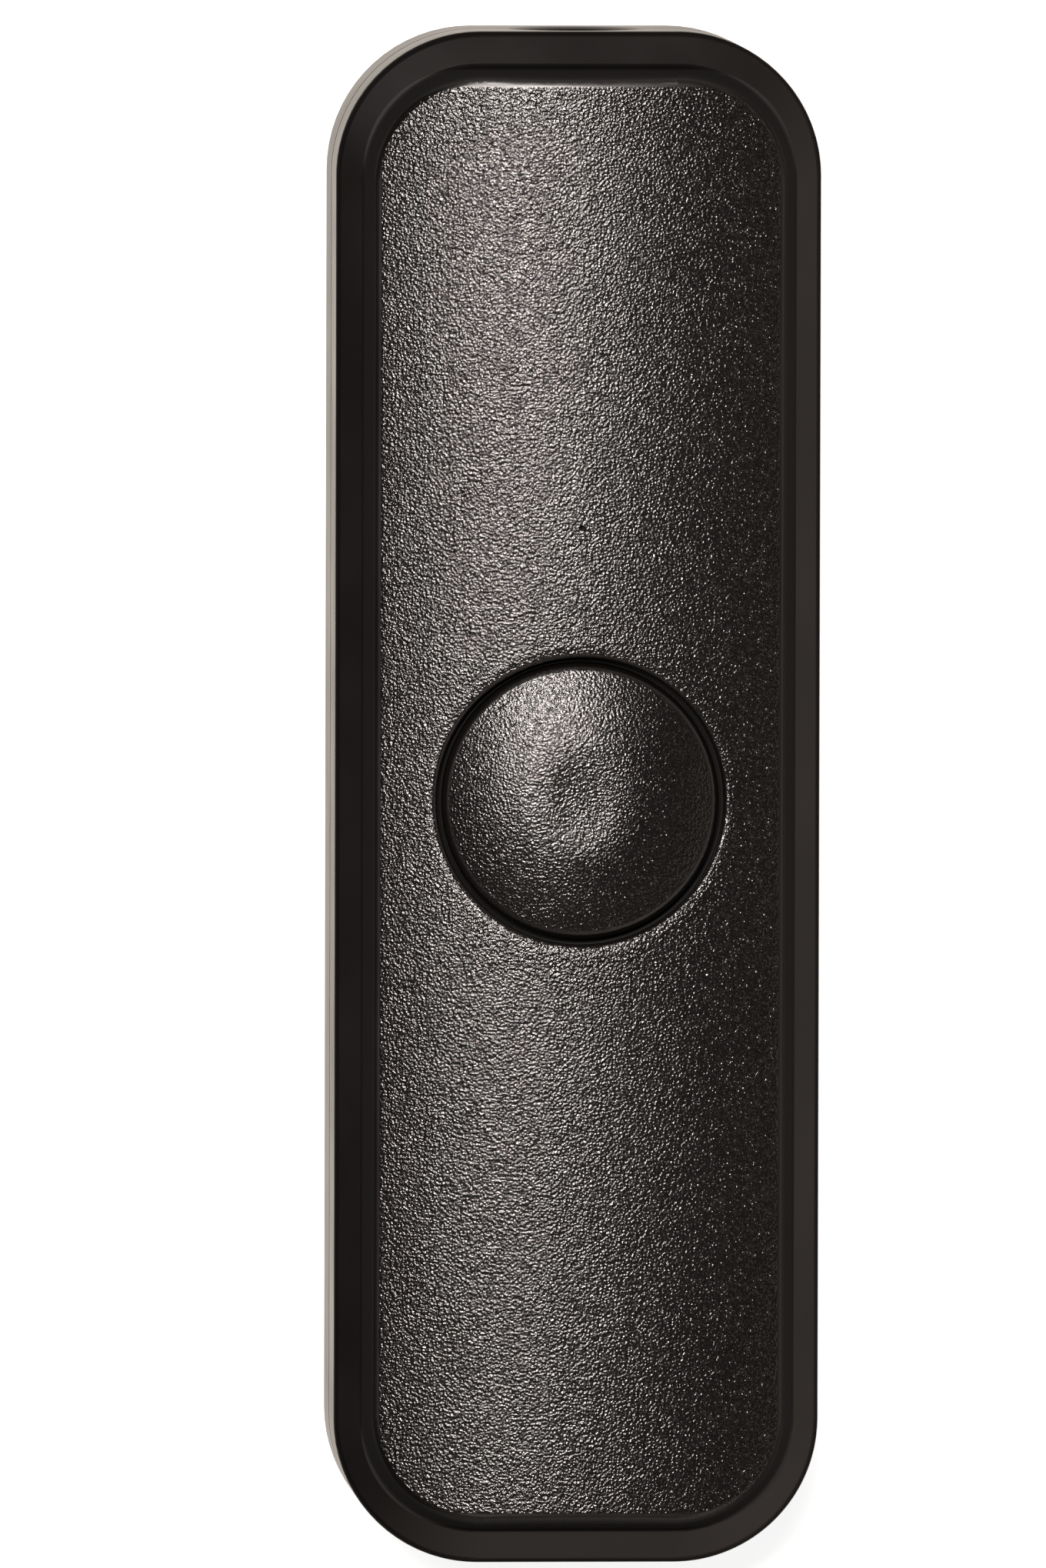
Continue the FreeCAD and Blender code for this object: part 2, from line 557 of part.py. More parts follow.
def round_edges(body, feature, test, radius, name):
    """Round the edges of a feature that pass a test."""
    names = edges_where(feature, test)
    rounded = body.newObject("PartDesign::Fillet", name)
    rounded.Base = (feature, names)
    bind(rounded, "Radius", radius)
    body.Tip = rounded
    return rounded


def chamfer_edges(body, feature, test, size, name):
    """Chamfer the edges of a feature that pass a test."""
    names = edges_where(feature, test)
    chamfered = body.newObject("PartDesign::Chamfer", name)
    chamfered.Base = (feature, names)
    bind(chamfered, "Size", size)
    body.Tip = chamfered
    return chamfered


def points_along(edge):
    """List five points of an edge, from end to end."""
    span = edge.LastParameter - edge.FirstParameter
    return [edge.valueAt(edge.FirstParameter + span * step / 4) for step in range(5)]


def level_at(height):
    """Make a test for edges that lie at one height."""
    level = value_of(height)
    return lambda edge: abs(edge.BoundBox.ZMin - level) < 1e-4 and abs(edge.BoundBox.ZMax - level) < 1e-4


def mirrored(label, source, normal):
    """Make the mirror image of a sub-part through the origin."""
    image = doc.addObject("Part::Mirroring", label)
    image.Label = label
    image.Source = source
    image.Normal = FreeCAD.Vector(*normal)
    return image


def group(label, members):
    """Keep several separate solids as one sub-part."""
    together = doc.addObject("Part::Compound", label)
    together.Label = label
    together.Links = members
    return together


def box(name, size_x, size_y, size_z, x="0", y="0", z="0"):
    """Make a block centred on x and y, with its base at z."""
    block = doc.addObject("Part::Box", name)
    bind(block, "Length", size_x)
    bind(block, "Width", size_y)
    bind(block, "Height", size_z)
    return put(block, f"{x} - ({size_x}) / 2", f"{y} - ({size_y}) / 2", z)


def rod(name, radius, height, x="0", y="0", z="0"):
    """Make an upright cylinder with its base at z."""
    cylinder = doc.addObject("Part::Cylinder", name)
    bind(cylinder, "Radius", radius)
    bind(cylinder, "Height", height)
    return put(cylinder, x, y, z)


def joined(label, members):
    """Fuse touching solids into one."""
    fused = doc.addObject("Part::MultiFuse", label)
    fused.Label = label
    fused.Shapes = members
    return fused


def less(label, base, tool):
    """Cut one solid out of another."""
    rest = doc.addObject("Part::Cut", label)
    rest.Label = label
    rest.Base = base
    rest.Tool = tool
    return rest


def draw_four_circles(sketch, radius, x, y):
    """Draw the same circle in the four quarters of the sketch."""
    for sign_x, sign_y in FOUR_QUARTERS:
        draw_circle(sketch, radius, f"{sign_x} * ({x})", f"{sign_y} * ({y})")


def screw(label, head_radius, head_height, shank_radius, shank_length):
    """Make a pan-head screw whose head seat is at its own origin, pointing down."""
    body = new_body(label)
    profile = new_sketch(body, label + "_profile", "XZ_Plane")
    tip = f"({shank_radius})"
    draw_outline(profile, [
        ("0", f"-({shank_length})"),
        (f"{TIP_FLAT} * {tip}", f"-({shank_length})"),
        (shank_radius, f"{tip} - ({shank_length})"),
        (shank_radius, "0"),
        (head_radius, "0"),
        (head_radius, f"{HEAD_SHOULDER} * ({head_height})"),
        (f"{HEAD_FLAT} * ({head_radius})", head_height),
        ("0", head_height),
    ])
    turn(body, profile, label + "_turned")
    recess = new_sketch(body, label + "_recess", lift=head_height)
    arm = "Sizes.recess_width / 2"
    reach = f"min(Sizes.recess_length / 2; {HEAD_FLAT} * ({head_radius}))"
    draw_outline(recess, [
        (reach, f"-{arm}"), (reach, arm), (arm, arm), (arm, reach),
        (f"-{arm}", reach), (f"-{arm}", arm), (f"-{reach}", arm), (f"-{reach}", f"-{arm}"),
        (f"-{arm}", f"-{arm}"), (f"-{arm}", f"-{reach}"), (arm, f"-{reach}"), (arm, f"-{arm}"),
    ])
    pocket(body, recess, f"min(Sizes.recess_depth; {HEAD_SHOULDER} * ({head_height}))", label + "_cross")
    return body


def draw_case_outline(sketch, inset):
    """Draw the casing's outline, moved inwards by an inset."""
    draw_rounded(
        sketch,
        f"Places.half_width - ({inset})",
        f"Places.half_length - ({inset})",
        f"Sizes.corner_radius - ({inset})",
    )


def draw_inlet_ribs(sketch):
    """Draw the rib that stands behind the sleeve slot at each end."""
    for end in (1, -1):
        draw_rectangle(
            sketch,
            "Sizes.inlet_rib_half_width",
            "Sizes.inlet_rib_thickness / 2",
            y=f"{end} * (Places.slot_end + Places.rib_end) / 2",
        )


def cut_inlets(body, name):
    """Bore both cord inlets along Y at the joint's height, with rounded mouths."""
    profile = new_sketch(body, name + "_profile", "YZ_Plane", y="Sizes.parting_height")
    mouth_radius = "Sizes.cord_bore_radius + Sizes.inlet_flare"
    for end in (1, -1):
        draw_outline(profile, [
            (f"{end} * (Places.rib_end - {SPARE})", "0"),
            (f"{end} * (Places.rib_end - {SPARE})", "Sizes.cord_bore_radius"),
            (f"{end} * (Places.half_length - Sizes.inlet_flare)", "Sizes.cord_bore_radius",
             "Sizes.inlet_flare", -end),
            (f"{end} * Places.half_length", mouth_radius),
            (f"{end} * (Places.half_length + {SPARE})", mouth_radius),
            (f"{end} * (Places.half_length + {SPARE})", "0"),
        ])
    return turn(body, profile, name, "H_Axis", cutting=True)


def on_outer_seam(edge):
    """Tell whether an edge lies on the outside of the joint between the shells."""
    if not level_at("Sizes.parting_height")(edge):
        return False
    half_width = value_of("Places.half_width")
    half_length = value_of("Places.half_length")
    radius = value_of("Sizes.corner_radius")
    middle = edge.valueAt((edge.FirstParameter + edge.LastParameter) / 2)
    past_x = max(abs(middle.x) - (half_width - radius), 0)
    past_y = max(abs(middle.y) - (half_length - radius), 0)
    return abs(math.hypot(past_x, past_y) - radius) < NEAR


def on_crown(edge):
    """Tell whether an edge lies on the crowned panel."""
    axis_height = value_of("Places.crown_axis_height")
    radius = value_of("Sizes.crown_radius")
    return all(abs(math.hypot(point.x, point.z - axis_height) - radius) < NEAR
               for point in points_along(edge))


def on_button_crown(edge):
    """Tell whether an edge lies on the two-way crown of the button."""
    axis_height = value_of("Places.button_axis_height")
    across = value_of("Sizes.button_crown_across")
    along = value_of("Sizes.button_crown_along")
    return all(abs(math.hypot(point.x, math.hypot(point.y, point.z - axis_height) - along + across)
                   - across) < NEAR for point in points_along(edge))


def on_dish(edge):
    """Tell whether an edge lies on the hollow of the button's dish."""
    radius = value_of("Sizes.dish_hollow")
    centre = FreeCAD.Vector(0, 0, value_of("Places.dish_floor") + radius)
    return all(abs(point.distanceToPoint(centre) - radius) < NEAR for point in points_along(edge))


def make_upper_shell():
    """Crowned cover with the panel, the button hole, the pinhole and half of each inlet."""
    body = new_body("upper_shell")
    wall = new_sketch(body, "upper_wall_outline", lift="Sizes.parting_height")
    draw_case_outline(wall, "0")
    pad(body, wall, "Sizes.rim_height - Sizes.parting_height", "upper_wall")

    # Sloping border from the rim up to the foot of the panel
    rim = new_sketch(body, "rim_outline", lift="Sizes.rim_height")
    draw_case_outline(rim, "0")
    foot = new_sketch(body, "border_outline", lift="Places.border_height")
    foot_radius = "Sizes.corner_radius - Sizes.bevel_side_run"
    draw_rounded(foot, "Places.foot_width / 2", "Places.foot_length / 2", foot_radius)
    loft(body, rim, foot, "border")

    # Steep block of the panel, crowned below
    base = new_sketch(body, "panel_base_outline", lift="Places.border_height")
    draw_rounded(base, "Places.foot_width / 2", "Places.foot_length / 2", foot_radius)
    top = new_sketch(body, "panel_top_outline", lift="Places.block_top")
    draw_rounded(top, "Places.top_width / 2", "Places.top_length / 2", "Sizes.panel_corner_radius")
    loft(body, base, top, "panel_block")

    # Hollow: the wide part, the raised part under the crown and the rebate for the lip
    cavity = new_sketch(body, "upper_cavity_outline", lift="Sizes.parting_height")
    draw_case_outline(cavity, "Sizes.wall_thickness")
    pocket(body, cavity, "Places.cavity_top - Sizes.parting_height", "upper_cavity", upwards=True)
    roof = new_sketch(body, "roof_profile", "XZ_Plane")
    draw_outline(roof, [
        ("-Places.roof_half_width", f"Places.cavity_top - {SPARE}"),
        ("Places.roof_half_width", f"Places.cavity_top - {SPARE}"),
        ("Places.roof_half_width", "Places.roof_edge_height", "Places.roof_axis_radius", -1),
        ("-Places.roof_half_width", "Places.roof_edge_height"),
    ])
    pocket(body, roof, "2 * Places.roof_half_length", "roof_cavity", both_ways=True)
    rebate = new_sketch(body, "rebate_outline", lift="Sizes.parting_height")
    draw_case_outline(rebate, "Sizes.wall_thickness - Sizes.lip_thickness - Sizes.lip_clearance")
    pocket(body, rebate, "Sizes.lip_height + Sizes.lip_clearance", "rebate", upwards=True)

    # Collar and seat that guide and stop the button's flange
    collar = new_sketch(body, "collar_outline", lift="Places.collar_base")
    draw_circle(collar, "Places.collar_outer_radius")
    draw_circle(collar, "Places.collar_inner_radius")
    pad(body, collar, "Places.block_top - Places.collar_base", "collar")
    seat = new_sketch(body, "seat_outline", lift="Places.seat_height")
    draw_circle(seat, "Places.collar_outer_radius")
    pad(body, seat, "Places.block_top - Places.seat_height", "button_seat")

    # Screw bosses, inlet ribs and the light guide's socket
    bosses = new_sketch(body, "upper_boss_outlines", lift="Sizes.parting_height")
    draw_four_circles(bosses, "Sizes.case_boss_radius", "Places.case_screw_x", "Places.case_screw_y")
    boss_top = "Places.cavity_top + Sizes.boss_roof_bite"
    pad(body, bosses, f"{boss_top} - Sizes.parting_height", "upper_bosses")
    ribs = new_sketch(body, "upper_rib_outlines", lift="Sizes.parting_height")
    draw_inlet_ribs(ribs)
    rib_top = "Places.cavity_top + Sizes.rib_roof_bite"
    pad(body, ribs, f"{rib_top} - Sizes.parting_height", "upper_inlet_ribs")
    socket = new_sketch(body, "socket_outline", lift="Places.socket_base")
    draw_circle(socket, "Places.socket_radius", y="Sizes.indicator_distance")
    pad(body, socket, "Places.block_top - Places.socket_base", "guide_socket")

    # Crown across the whole panel
    crown = new_sketch(body, "crown_profile", "XZ_Plane")
    reach = f"(Places.half_width + {SPARE})"
    crown_end = f"Places.crown_axis_height + sqrt(Sizes.crown_radius ^ 2 - {reach} ^ 2)"
    draw_outline(crown, [
        (f"-{reach}", crown_end, "Sizes.crown_radius", 1),
        (reach, crown_end),
        (reach, f"Places.block_top + {SPARE}"),
        (f"-{reach}", f"Places.block_top + {SPARE}"),
    ])
    crowned = pocket(body, crown, f"Sizes.body_length + 2 * {SPARE}", "crown", both_ways=True)

    # Rounds on the outside
    foot_edges = level_at("Places.border_height")
    rounded = round_edges(body, crowned, foot_edges, "Sizes.step_foot_round", "step_foot")
    rounded = round_edges(body, rounded, on_crown, "Sizes.panel_edge_round", "panel_edge")
    rounded = round_edges(body, rounded, level_at("Sizes.rim_height"), "Sizes.rim_round", "rim_edge")
    chamfer_edges(body, rounded, on_outer_seam, "Sizes.seam_chamfer", "upper_seam")

    # Holes
    hole = new_sketch(body, "button_hole_outline", lift=f"Places.seat_height - {SPARE}")
    draw_circle(hole, "Sizes.button_hole_radius")
    depth = f"Places.block_top - Places.seat_height + 2 * {SPARE}"
    cut = pocket(body, hole, depth, "button_hole", upwards=True)
    round_edges(body, cut, on_crown, "Sizes.button_hole_round", "button_hole_edge")
    bore = new_sketch(body, "socket_bore_outline", lift="Places.socket_base")
    draw_circle(bore, "Sizes.guide_radius + Sizes.guide_clearance", y="Sizes.indicator_distance")
    pocket(body, bore, "Sizes.guide_socket_length", "socket_bore", upwards=True)
    pinhole = new_sketch(body, "pinhole_outline", lift=f"Places.socket_end - {SPARE}")
    draw_circle(pinhole, "Sizes.pinhole_radius", y="Sizes.indicator_distance")
    pocket(body, pinhole, f"Sizes.pinhole_depth + 2 * {SPARE}", "pinhole", upwards=True)
    pilots = new_sketch(body, "case_pilot_outlines", lift="Sizes.parting_height")
    draw_four_circles(pilots, "Sizes.case_screw_radius + Sizes.pilot_clearance",
                      "Places.case_screw_x", "Places.case_screw_y")
    pocket(body, pilots, "Places.case_pilot_top - Sizes.parting_height", "case_pilots", upwards=True)
    cut_inlets(body, "upper_inlets")
    return body


def draw_clamp_channel(sketch, end):
    """Draw the section of the toothed channel at one end, along Y."""
    radius = "Sizes.clamp_channel_radius"
    crest = "Sizes.clamp_channel_radius - Sizes.tooth_height"
    half_tooth = "Sizes.tooth_width / 2"
    spread = "Sizes.tooth_spread"
    middle = "Places.clamp_centre"
    inner = f"{middle} - Sizes.clamp_length / 2 - {SPARE}"
    outer = f"{middle} + Sizes.clamp_length / 2 + {SPARE}"
    points = [(inner, "0"), (inner, radius)]
    for tooth in (f"{middle} - {spread}", f"{middle} + {spread}"):
        points += [(f"{tooth} - {half_tooth}", radius), (f"{tooth} - {half_tooth}", crest),
                   (f"{tooth} + {half_tooth}", crest), (f"{tooth} + {half_tooth}", radius)]
    points += [(outer, radius), (outer, "0")]
    draw_outline(sketch, [(f"{end} * ({along})", across) for along, across in points])


def make_lower_shell():
    """Tray with the floor, the bosses, the board posts, the clamp blocks and half of each inlet."""
    body = new_body("lower_shell")
    base = new_sketch(body, "base_outline")
    draw_case_outline(base, "Sizes.base_bevel_run")
    above = new_sketch(body, "base_bevel_outline", lift="Sizes.base_bevel_rise")
    draw_case_outline(above, "0")
    loft(body, base, above, "base_bevel")
    wall = new_sketch(body, "lower_wall_outline", lift="Sizes.base_bevel_rise")
    draw_case_outline(wall, "0")
    walled = pad(body, wall, "Sizes.parting_height - Sizes.base_bevel_rise", "lower_wall")
    chamfer_edges(body, walled, on_outer_seam, "Sizes.seam_chamfer", "lower_seam")
    cavity = new_sketch(body, "lower_cavity_outline", lift="Sizes.parting_height")
    draw_case_outline(cavity, "Sizes.wall_thickness")
    pocket(body, cavity, "Sizes.parting_height - Sizes.floor_thickness", "lower_cavity")
    lip = new_sketch(body, "lip_outline", lift="Sizes.parting_height")
    draw_case_outline(lip, "Sizes.wall_thickness - Sizes.lip_thickness")
    draw_case_outline(lip, "Sizes.wall_thickness")
    pad(body, lip, "Sizes.lip_height", "lip")

    # Bosses, ribs and clamp blocks up to the joint
    bosses = new_sketch(body, "lower_boss_outlines", lift="Sizes.floor_thickness")
    draw_four_circles(bosses, "Sizes.case_boss_radius", "Places.case_screw_x", "Places.case_screw_y")
    pad(body, bosses, "Sizes.parting_height - Sizes.floor_thickness", "lower_bosses")
    ribs = new_sketch(body, "lower_rib_outlines", lift="Sizes.floor_thickness")
    draw_inlet_ribs(ribs)
    pad(body, ribs, "Sizes.parting_height - Sizes.floor_thickness", "lower_inlet_ribs")
    blocks = new_sketch(body, "clamp_block_outlines", lift="Sizes.floor_thickness")
    for end in (1, -1):
        draw_rectangle(blocks, "Sizes.clamp_half_width", "Sizes.clamp_length / 2",
                       y=f"{end} * Places.clamp_centre")
    pad(body, blocks, "Places.clamp_block_top - Sizes.floor_thickness", "clamp_blocks")

    # Posts under the board: two with locating pins, two for screws
    posts = new_sketch(body, "post_outlines", lift="Sizes.floor_thickness")
    draw_four_circles(posts, "Sizes.post_radius", "Places.post_x", "Places.terminal_centre")
    pad(body, posts, "Sizes.board_standoff", "board_posts")
    pins = new_sketch(body, "pin_outlines", lift="Places.board_base")
    for side in (1, -1):
        draw_circle(pins, "Sizes.locating_pin_radius",
                    f"{side} * Places.post_x", f"{-side} * Places.terminal_centre")
    pad(body, pins, "Sizes.board_thickness + Sizes.locating_pin_height", "locating_pins")

    # Holes for the screws
    heads = new_sketch(body, "counterbore_outlines")
    draw_four_circles(heads, "Sizes.case_head_radius + Sizes.screw_hole_clearance",
                      "Places.case_screw_x", "Places.case_screw_y")
    pocket(body, heads, "Sizes.case_counterbore_depth", "case_counterbores", upwards=True)
    shanks = new_sketch(body, "case_hole_outlines", lift="Sizes.parting_height")
    draw_four_circles(shanks, "Sizes.case_screw_radius + Sizes.screw_hole_clearance",
                      "Places.case_screw_x", "Places.case_screw_y")
    pocket(body, shanks, "Sizes.parting_height - Sizes.case_counterbore_depth", "case_holes")
    clamp_pilots = new_sketch(body, "clamp_pilot_outlines", lift="Places.clamp_block_top")
    draw_four_circles(clamp_pilots, "Sizes.clamp_screw_radius + Sizes.pilot_clearance",
                      "Sizes.clamp_screw_spacing", "Places.clamp_centre")
    pocket(body, clamp_pilots,
           "Places.clamp_block_top - Places.clamp_screw_tip + Sizes.pilot_spare_depth", "clamp_pilots")
    board_pilots = new_sketch(body, "board_pilot_outlines", lift="Places.board_base")
    for side in (1, -1):
        draw_circle(board_pilots, "Sizes.board_screw_radius + Sizes.pilot_clearance",
                    f"{side} * Places.post_x", f"{side} * Places.terminal_centre")
    pocket(body, board_pilots, "Places.board_base - Places.board_screw_tip + Sizes.pilot_spare_depth",
           "board_pilots")

    # Toothed channel for the cord in each clamp block, then the inlets
    channel = new_sketch(body, "clamp_channel_profile", "YZ_Plane", y="Sizes.parting_height")
    for end in (1, -1):
        draw_clamp_channel(channel, end)
    turn(body, channel, "clamp_channels", "H_Axis", cutting=True)
    cut_inlets(body, "lower_inlets")
    return body


def make_case_screws():
    """Four screws that go in from below and join the shells."""
    one = screw("case_screw", "Sizes.case_head_radius", "Sizes.case_head_height",
                "Sizes.case_screw_radius", "Sizes.case_screw_length")
    one.Placement.Rotation = FreeCAD.Rotation(FreeCAD.Vector(1, 0, 0), 180)
    put(one, "Places.case_screw_x", "Places.case_screw_y", "Sizes.case_counterbore_depth")
    pair = group("case_screw_pair", [one, mirrored("case_screw_across", one, (1, 0, 0))])
    return group("case_screws", [pair, mirrored("case_screw_pair_along", pair, (0, 1, 0))])


def make_button_cap():
    """Round crowned button with a dish, a skirt, a flange, inner ribs and a post."""
    body = new_body("button_cap")
    profile = new_sketch(body, "button_profile", "XZ_Plane")
    draw_outline(profile, [
        ("0", "Places.post_base"),
        ("Sizes.button_post_radius", "Places.post_base"),
        ("Sizes.button_post_radius", "Places.button_inner_top"),
        ("Places.button_inner_radius", "Places.button_inner_top"),
        ("Places.button_inner_radius", "Places.flange_base"),
        ("Places.flange_radius", "Places.flange_base"),
        ("Places.flange_radius", "Places.flange_top"),
        ("Places.skirt_radius", "Places.flange_top"),
        ("Places.button_radius", "Places.button_top"),
        ("0", "Places.button_top"),
    ])
    turn(body, profile, "button_turned")

    # Crown, turned about an axis along X. Its profile is on the far side, so the seam stays off the button
    crown = new_sketch(body, "button_crown_profile", "XZ_Plane", y="Places.button_axis_height")
    sagitta = ("(Sizes.button_crown_across"
               " - sqrt(Sizes.button_crown_across ^ 2 - Places.skirt_radius ^ 2))")
    edge_depth = f"-(Sizes.button_crown_along - {sagitta})"
    clear_depth = f"-(Sizes.button_crown_along + {SPARE})"
    draw_outline(crown, [
        ("-Places.skirt_radius", edge_depth, "Sizes.button_crown_across", -1),
        ("Places.skirt_radius", edge_depth),
        ("Places.skirt_radius", clear_depth),
        ("-Places.skirt_radius", clear_depth),
    ])
    crowned = turn(body, crown, "button_crown", "H_Axis", cutting=True)
    round_edges(body, crowned, on_button_crown, "Sizes.button_edge_round", "button_rim")

    # Ribs under the roof
    ribs = new_sketch(body, "button_rib_outlines", lift="Places.button_inner_top - Sizes.button_rib_height")
    half_rib = "Sizes.button_rib_thickness / 2"
    reach = "Places.button_inner_radius + Sizes.button_rib_bite"
    draw_outline(ribs, [
        (reach, f"-{half_rib}"), (reach, half_rib), (half_rib, half_rib), (half_rib, reach),
        (f"-{half_rib}", reach), (f"-{half_rib}", half_rib),
        (f"-({reach})", half_rib), (f"-({reach})", f"-{half_rib}"),
        (f"-{half_rib}", f"-{half_rib}"), (f"-{half_rib}", f"-({reach})"),
        (half_rib, f"-({reach})"), (half_rib, f"-{half_rib}"),
    ])
    pad(body, ribs, "Sizes.button_rib_height + Sizes.button_rib_bite", "button_ribs")

    # Dish, whose hollow runs out over the crown
    dish = new_sketch(body, "dish_profile", "XZ_Plane")
    reach = "Places.button_inner_radius"
    dish_rise = f"Sizes.dish_hollow - sqrt(Sizes.dish_hollow ^ 2 - {reach} ^ 2)"
    draw_outline(dish, [
        ("0", "Places.dish_floor", "Sizes.dish_hollow", -1),
        (reach, f"Places.dish_floor + {dish_rise}"),
        (reach, f"Places.button_top + {SPARE}"),
        ("0", f"Places.button_top + {SPARE}"),
    ])
    dished = turn(body, dish, "dish", cutting=True)
    round_edges(body, dished, on_dish, "Sizes.dish_blend", "dish_edge")
    return body


def make_switch():
    """Push switch under the button: housing, legs, contact dome, plunger and cover."""
    housing = new_body("switch_housing", z="Places.board_top")
    outline = new_sketch(housing, "housing_outline")
    half = "Sizes.switch_size / 2"
    draw_rounded(outline, half, half, "Sizes.switch_corner_radius")
    pad(housing, outline, "Sizes.switch_height", "housing_block")
    well = new_sketch(housing, "well_outline", lift="Sizes.switch_height")
    draw_circle(well, "Sizes.well_radius")
    pocket(housing, well, "Sizes.switch_height - Sizes.switch_floor", "well")

    legs = []
    for sign_x, sign_y in FOUR_QUARTERS:
        legs.append(box(
            "switch_leg", "Sizes.leg_length", "Sizes.leg_width", "Sizes.leg_thickness",
            f"{sign_x} * (Sizes.switch_size + Sizes.leg_length) / 2",
            f"{sign_y} * Sizes.leg_spacing / 2", "Places.board_top"))

    dome = new_body("switch_dome", z="Places.well_floor")
    section = new_sketch(dome, "contact_profile", "XZ_Plane")
    inner_radius = "Sizes.dome_radius - 2 * Sizes.dome_thickness"
    inner_height = "Sizes.dome_height - Sizes.dome_thickness"
    draw_outline(section, [
        ("0", "Sizes.dome_height",
         "(Sizes.dome_radius ^ 2 + Sizes.dome_height ^ 2) / (2 * Sizes.dome_height)", 1),
        ("Sizes.dome_radius", "0"),
        (inner_radius, "0",
         f"(({inner_radius}) ^ 2 + ({inner_height}) ^ 2) / (2 * ({inner_height}))", -1),
        ("0", inner_height),
    ])
    turn(dome, section, "contact_turned")

    plunger = new_body("switch_plunger", z="Places.plunger_base")
    stem_top = "Places.plunger_top - Places.plunger_base"
    section = new_sketch(plunger, "plunger_profile", "XZ_Plane")
    draw_outline(section, [
        ("0", "0"),
        ("Sizes.plunger_radius", "0"),
        ("Sizes.plunger_radius", "Sizes.plunger_flange_height"),
        ("Sizes.plunger_stem_radius", "Sizes.plunger_flange_height"),
        ("Sizes.plunger_stem_radius", stem_top),
        ("0", stem_top),
    ])
    turn(plunger, section, "plunger_turned")

    cover = new_body("switch_cover", z="Places.cover_base")
    sheet_outline = new_sketch(cover, "cover_outline")
    draw_rounded(sheet_outline, half, half, "Sizes.switch_corner_radius")
    draw_circle(sheet_outline, "Sizes.plunger_stem_radius + Sizes.plunger_gap")
    pad(cover, sheet_outline, "Sizes.cover_thickness", "cover_sheet")
    return [housing, group("switch_legs", legs), dome, plunger, cover]


def make_circuit_board():
    """Board between the clamp blocks, with holes over its posts."""
    body = new_body("circuit_board", z="Places.board_base")
    outline = new_sketch(body, "board_outline")
    draw_rounded(outline, "Places.board_half_width", "Places.board_half_length", "Sizes.board_corner_radius")
    pad(body, outline, "Sizes.board_thickness", "board_sheet")
    holes = new_sketch(body, "board_hole_outlines", lift="Sizes.board_thickness")
    for side in (1, -1):
        draw_circle(holes, "Sizes.board_screw_radius + Sizes.screw_hole_clearance",
                    f"{side} * Places.post_x", f"{side} * Places.terminal_centre")
        draw_circle(holes, "Sizes.locating_pin_radius + Sizes.screw_hole_clearance",
                    f"{side} * Places.post_x", f"{-side} * Places.terminal_centre")
    pocket(body, holes, "Sizes.board_thickness", "board_holes")
    return body


def make_board_screws():
    """Two screws that hold the board on its posts."""
    screws = []
    for side in (1, -1):
        one = screw(f"board_screw_{len(screws)}", "Sizes.board_head_radius", "Sizes.board_head_height",
                    "Sizes.board_screw_radius", "Sizes.board_screw_length")
        put(one, f"{side} * Places.post_x", f"{side} * Places.terminal_centre", "Places.board_top")
        screws.append(one)
    return group("board_screws", screws)


def make_indicator():
    """Indicator light on the board and the clear guide that carries it to the pinhole."""
    base = box("led_base", "Sizes.led_length", "Sizes.led_width", "Sizes.led_base_height",
               y="Sizes.indicator_distance", z="Places.board_top")
    lens = box("led_lens", "Sizes.led_lens_length", "Sizes.led_lens_width", "Sizes.led_lens_height",
               y="Sizes.indicator_distance", z="Places.board_top + Sizes.led_base_height")
    guide = new_body("light_guide", y="Sizes.indicator_distance", z="Places.guide_base")
    section = new_sketch(guide, "guide_profile", "XZ_Plane")
    draw_outline(section, [
        ("0", "0"),
        ("Sizes.guide_radius - Sizes.guide_foot_bevel", "0"),
        ("Sizes.guide_radius", "Sizes.guide_foot_bevel"),
        ("Sizes.guide_radius", "Places.guide_length - Sizes.guide_tip_bevel"),
        ("Sizes.guide_radius - Sizes.guide_tip_bevel", "Places.guide_length"),
        ("0", "Places.guide_length"),
    ])
    turn(guide, section, "guide_turned")
    return [joined("indicator_led", [base, lens]), guide]


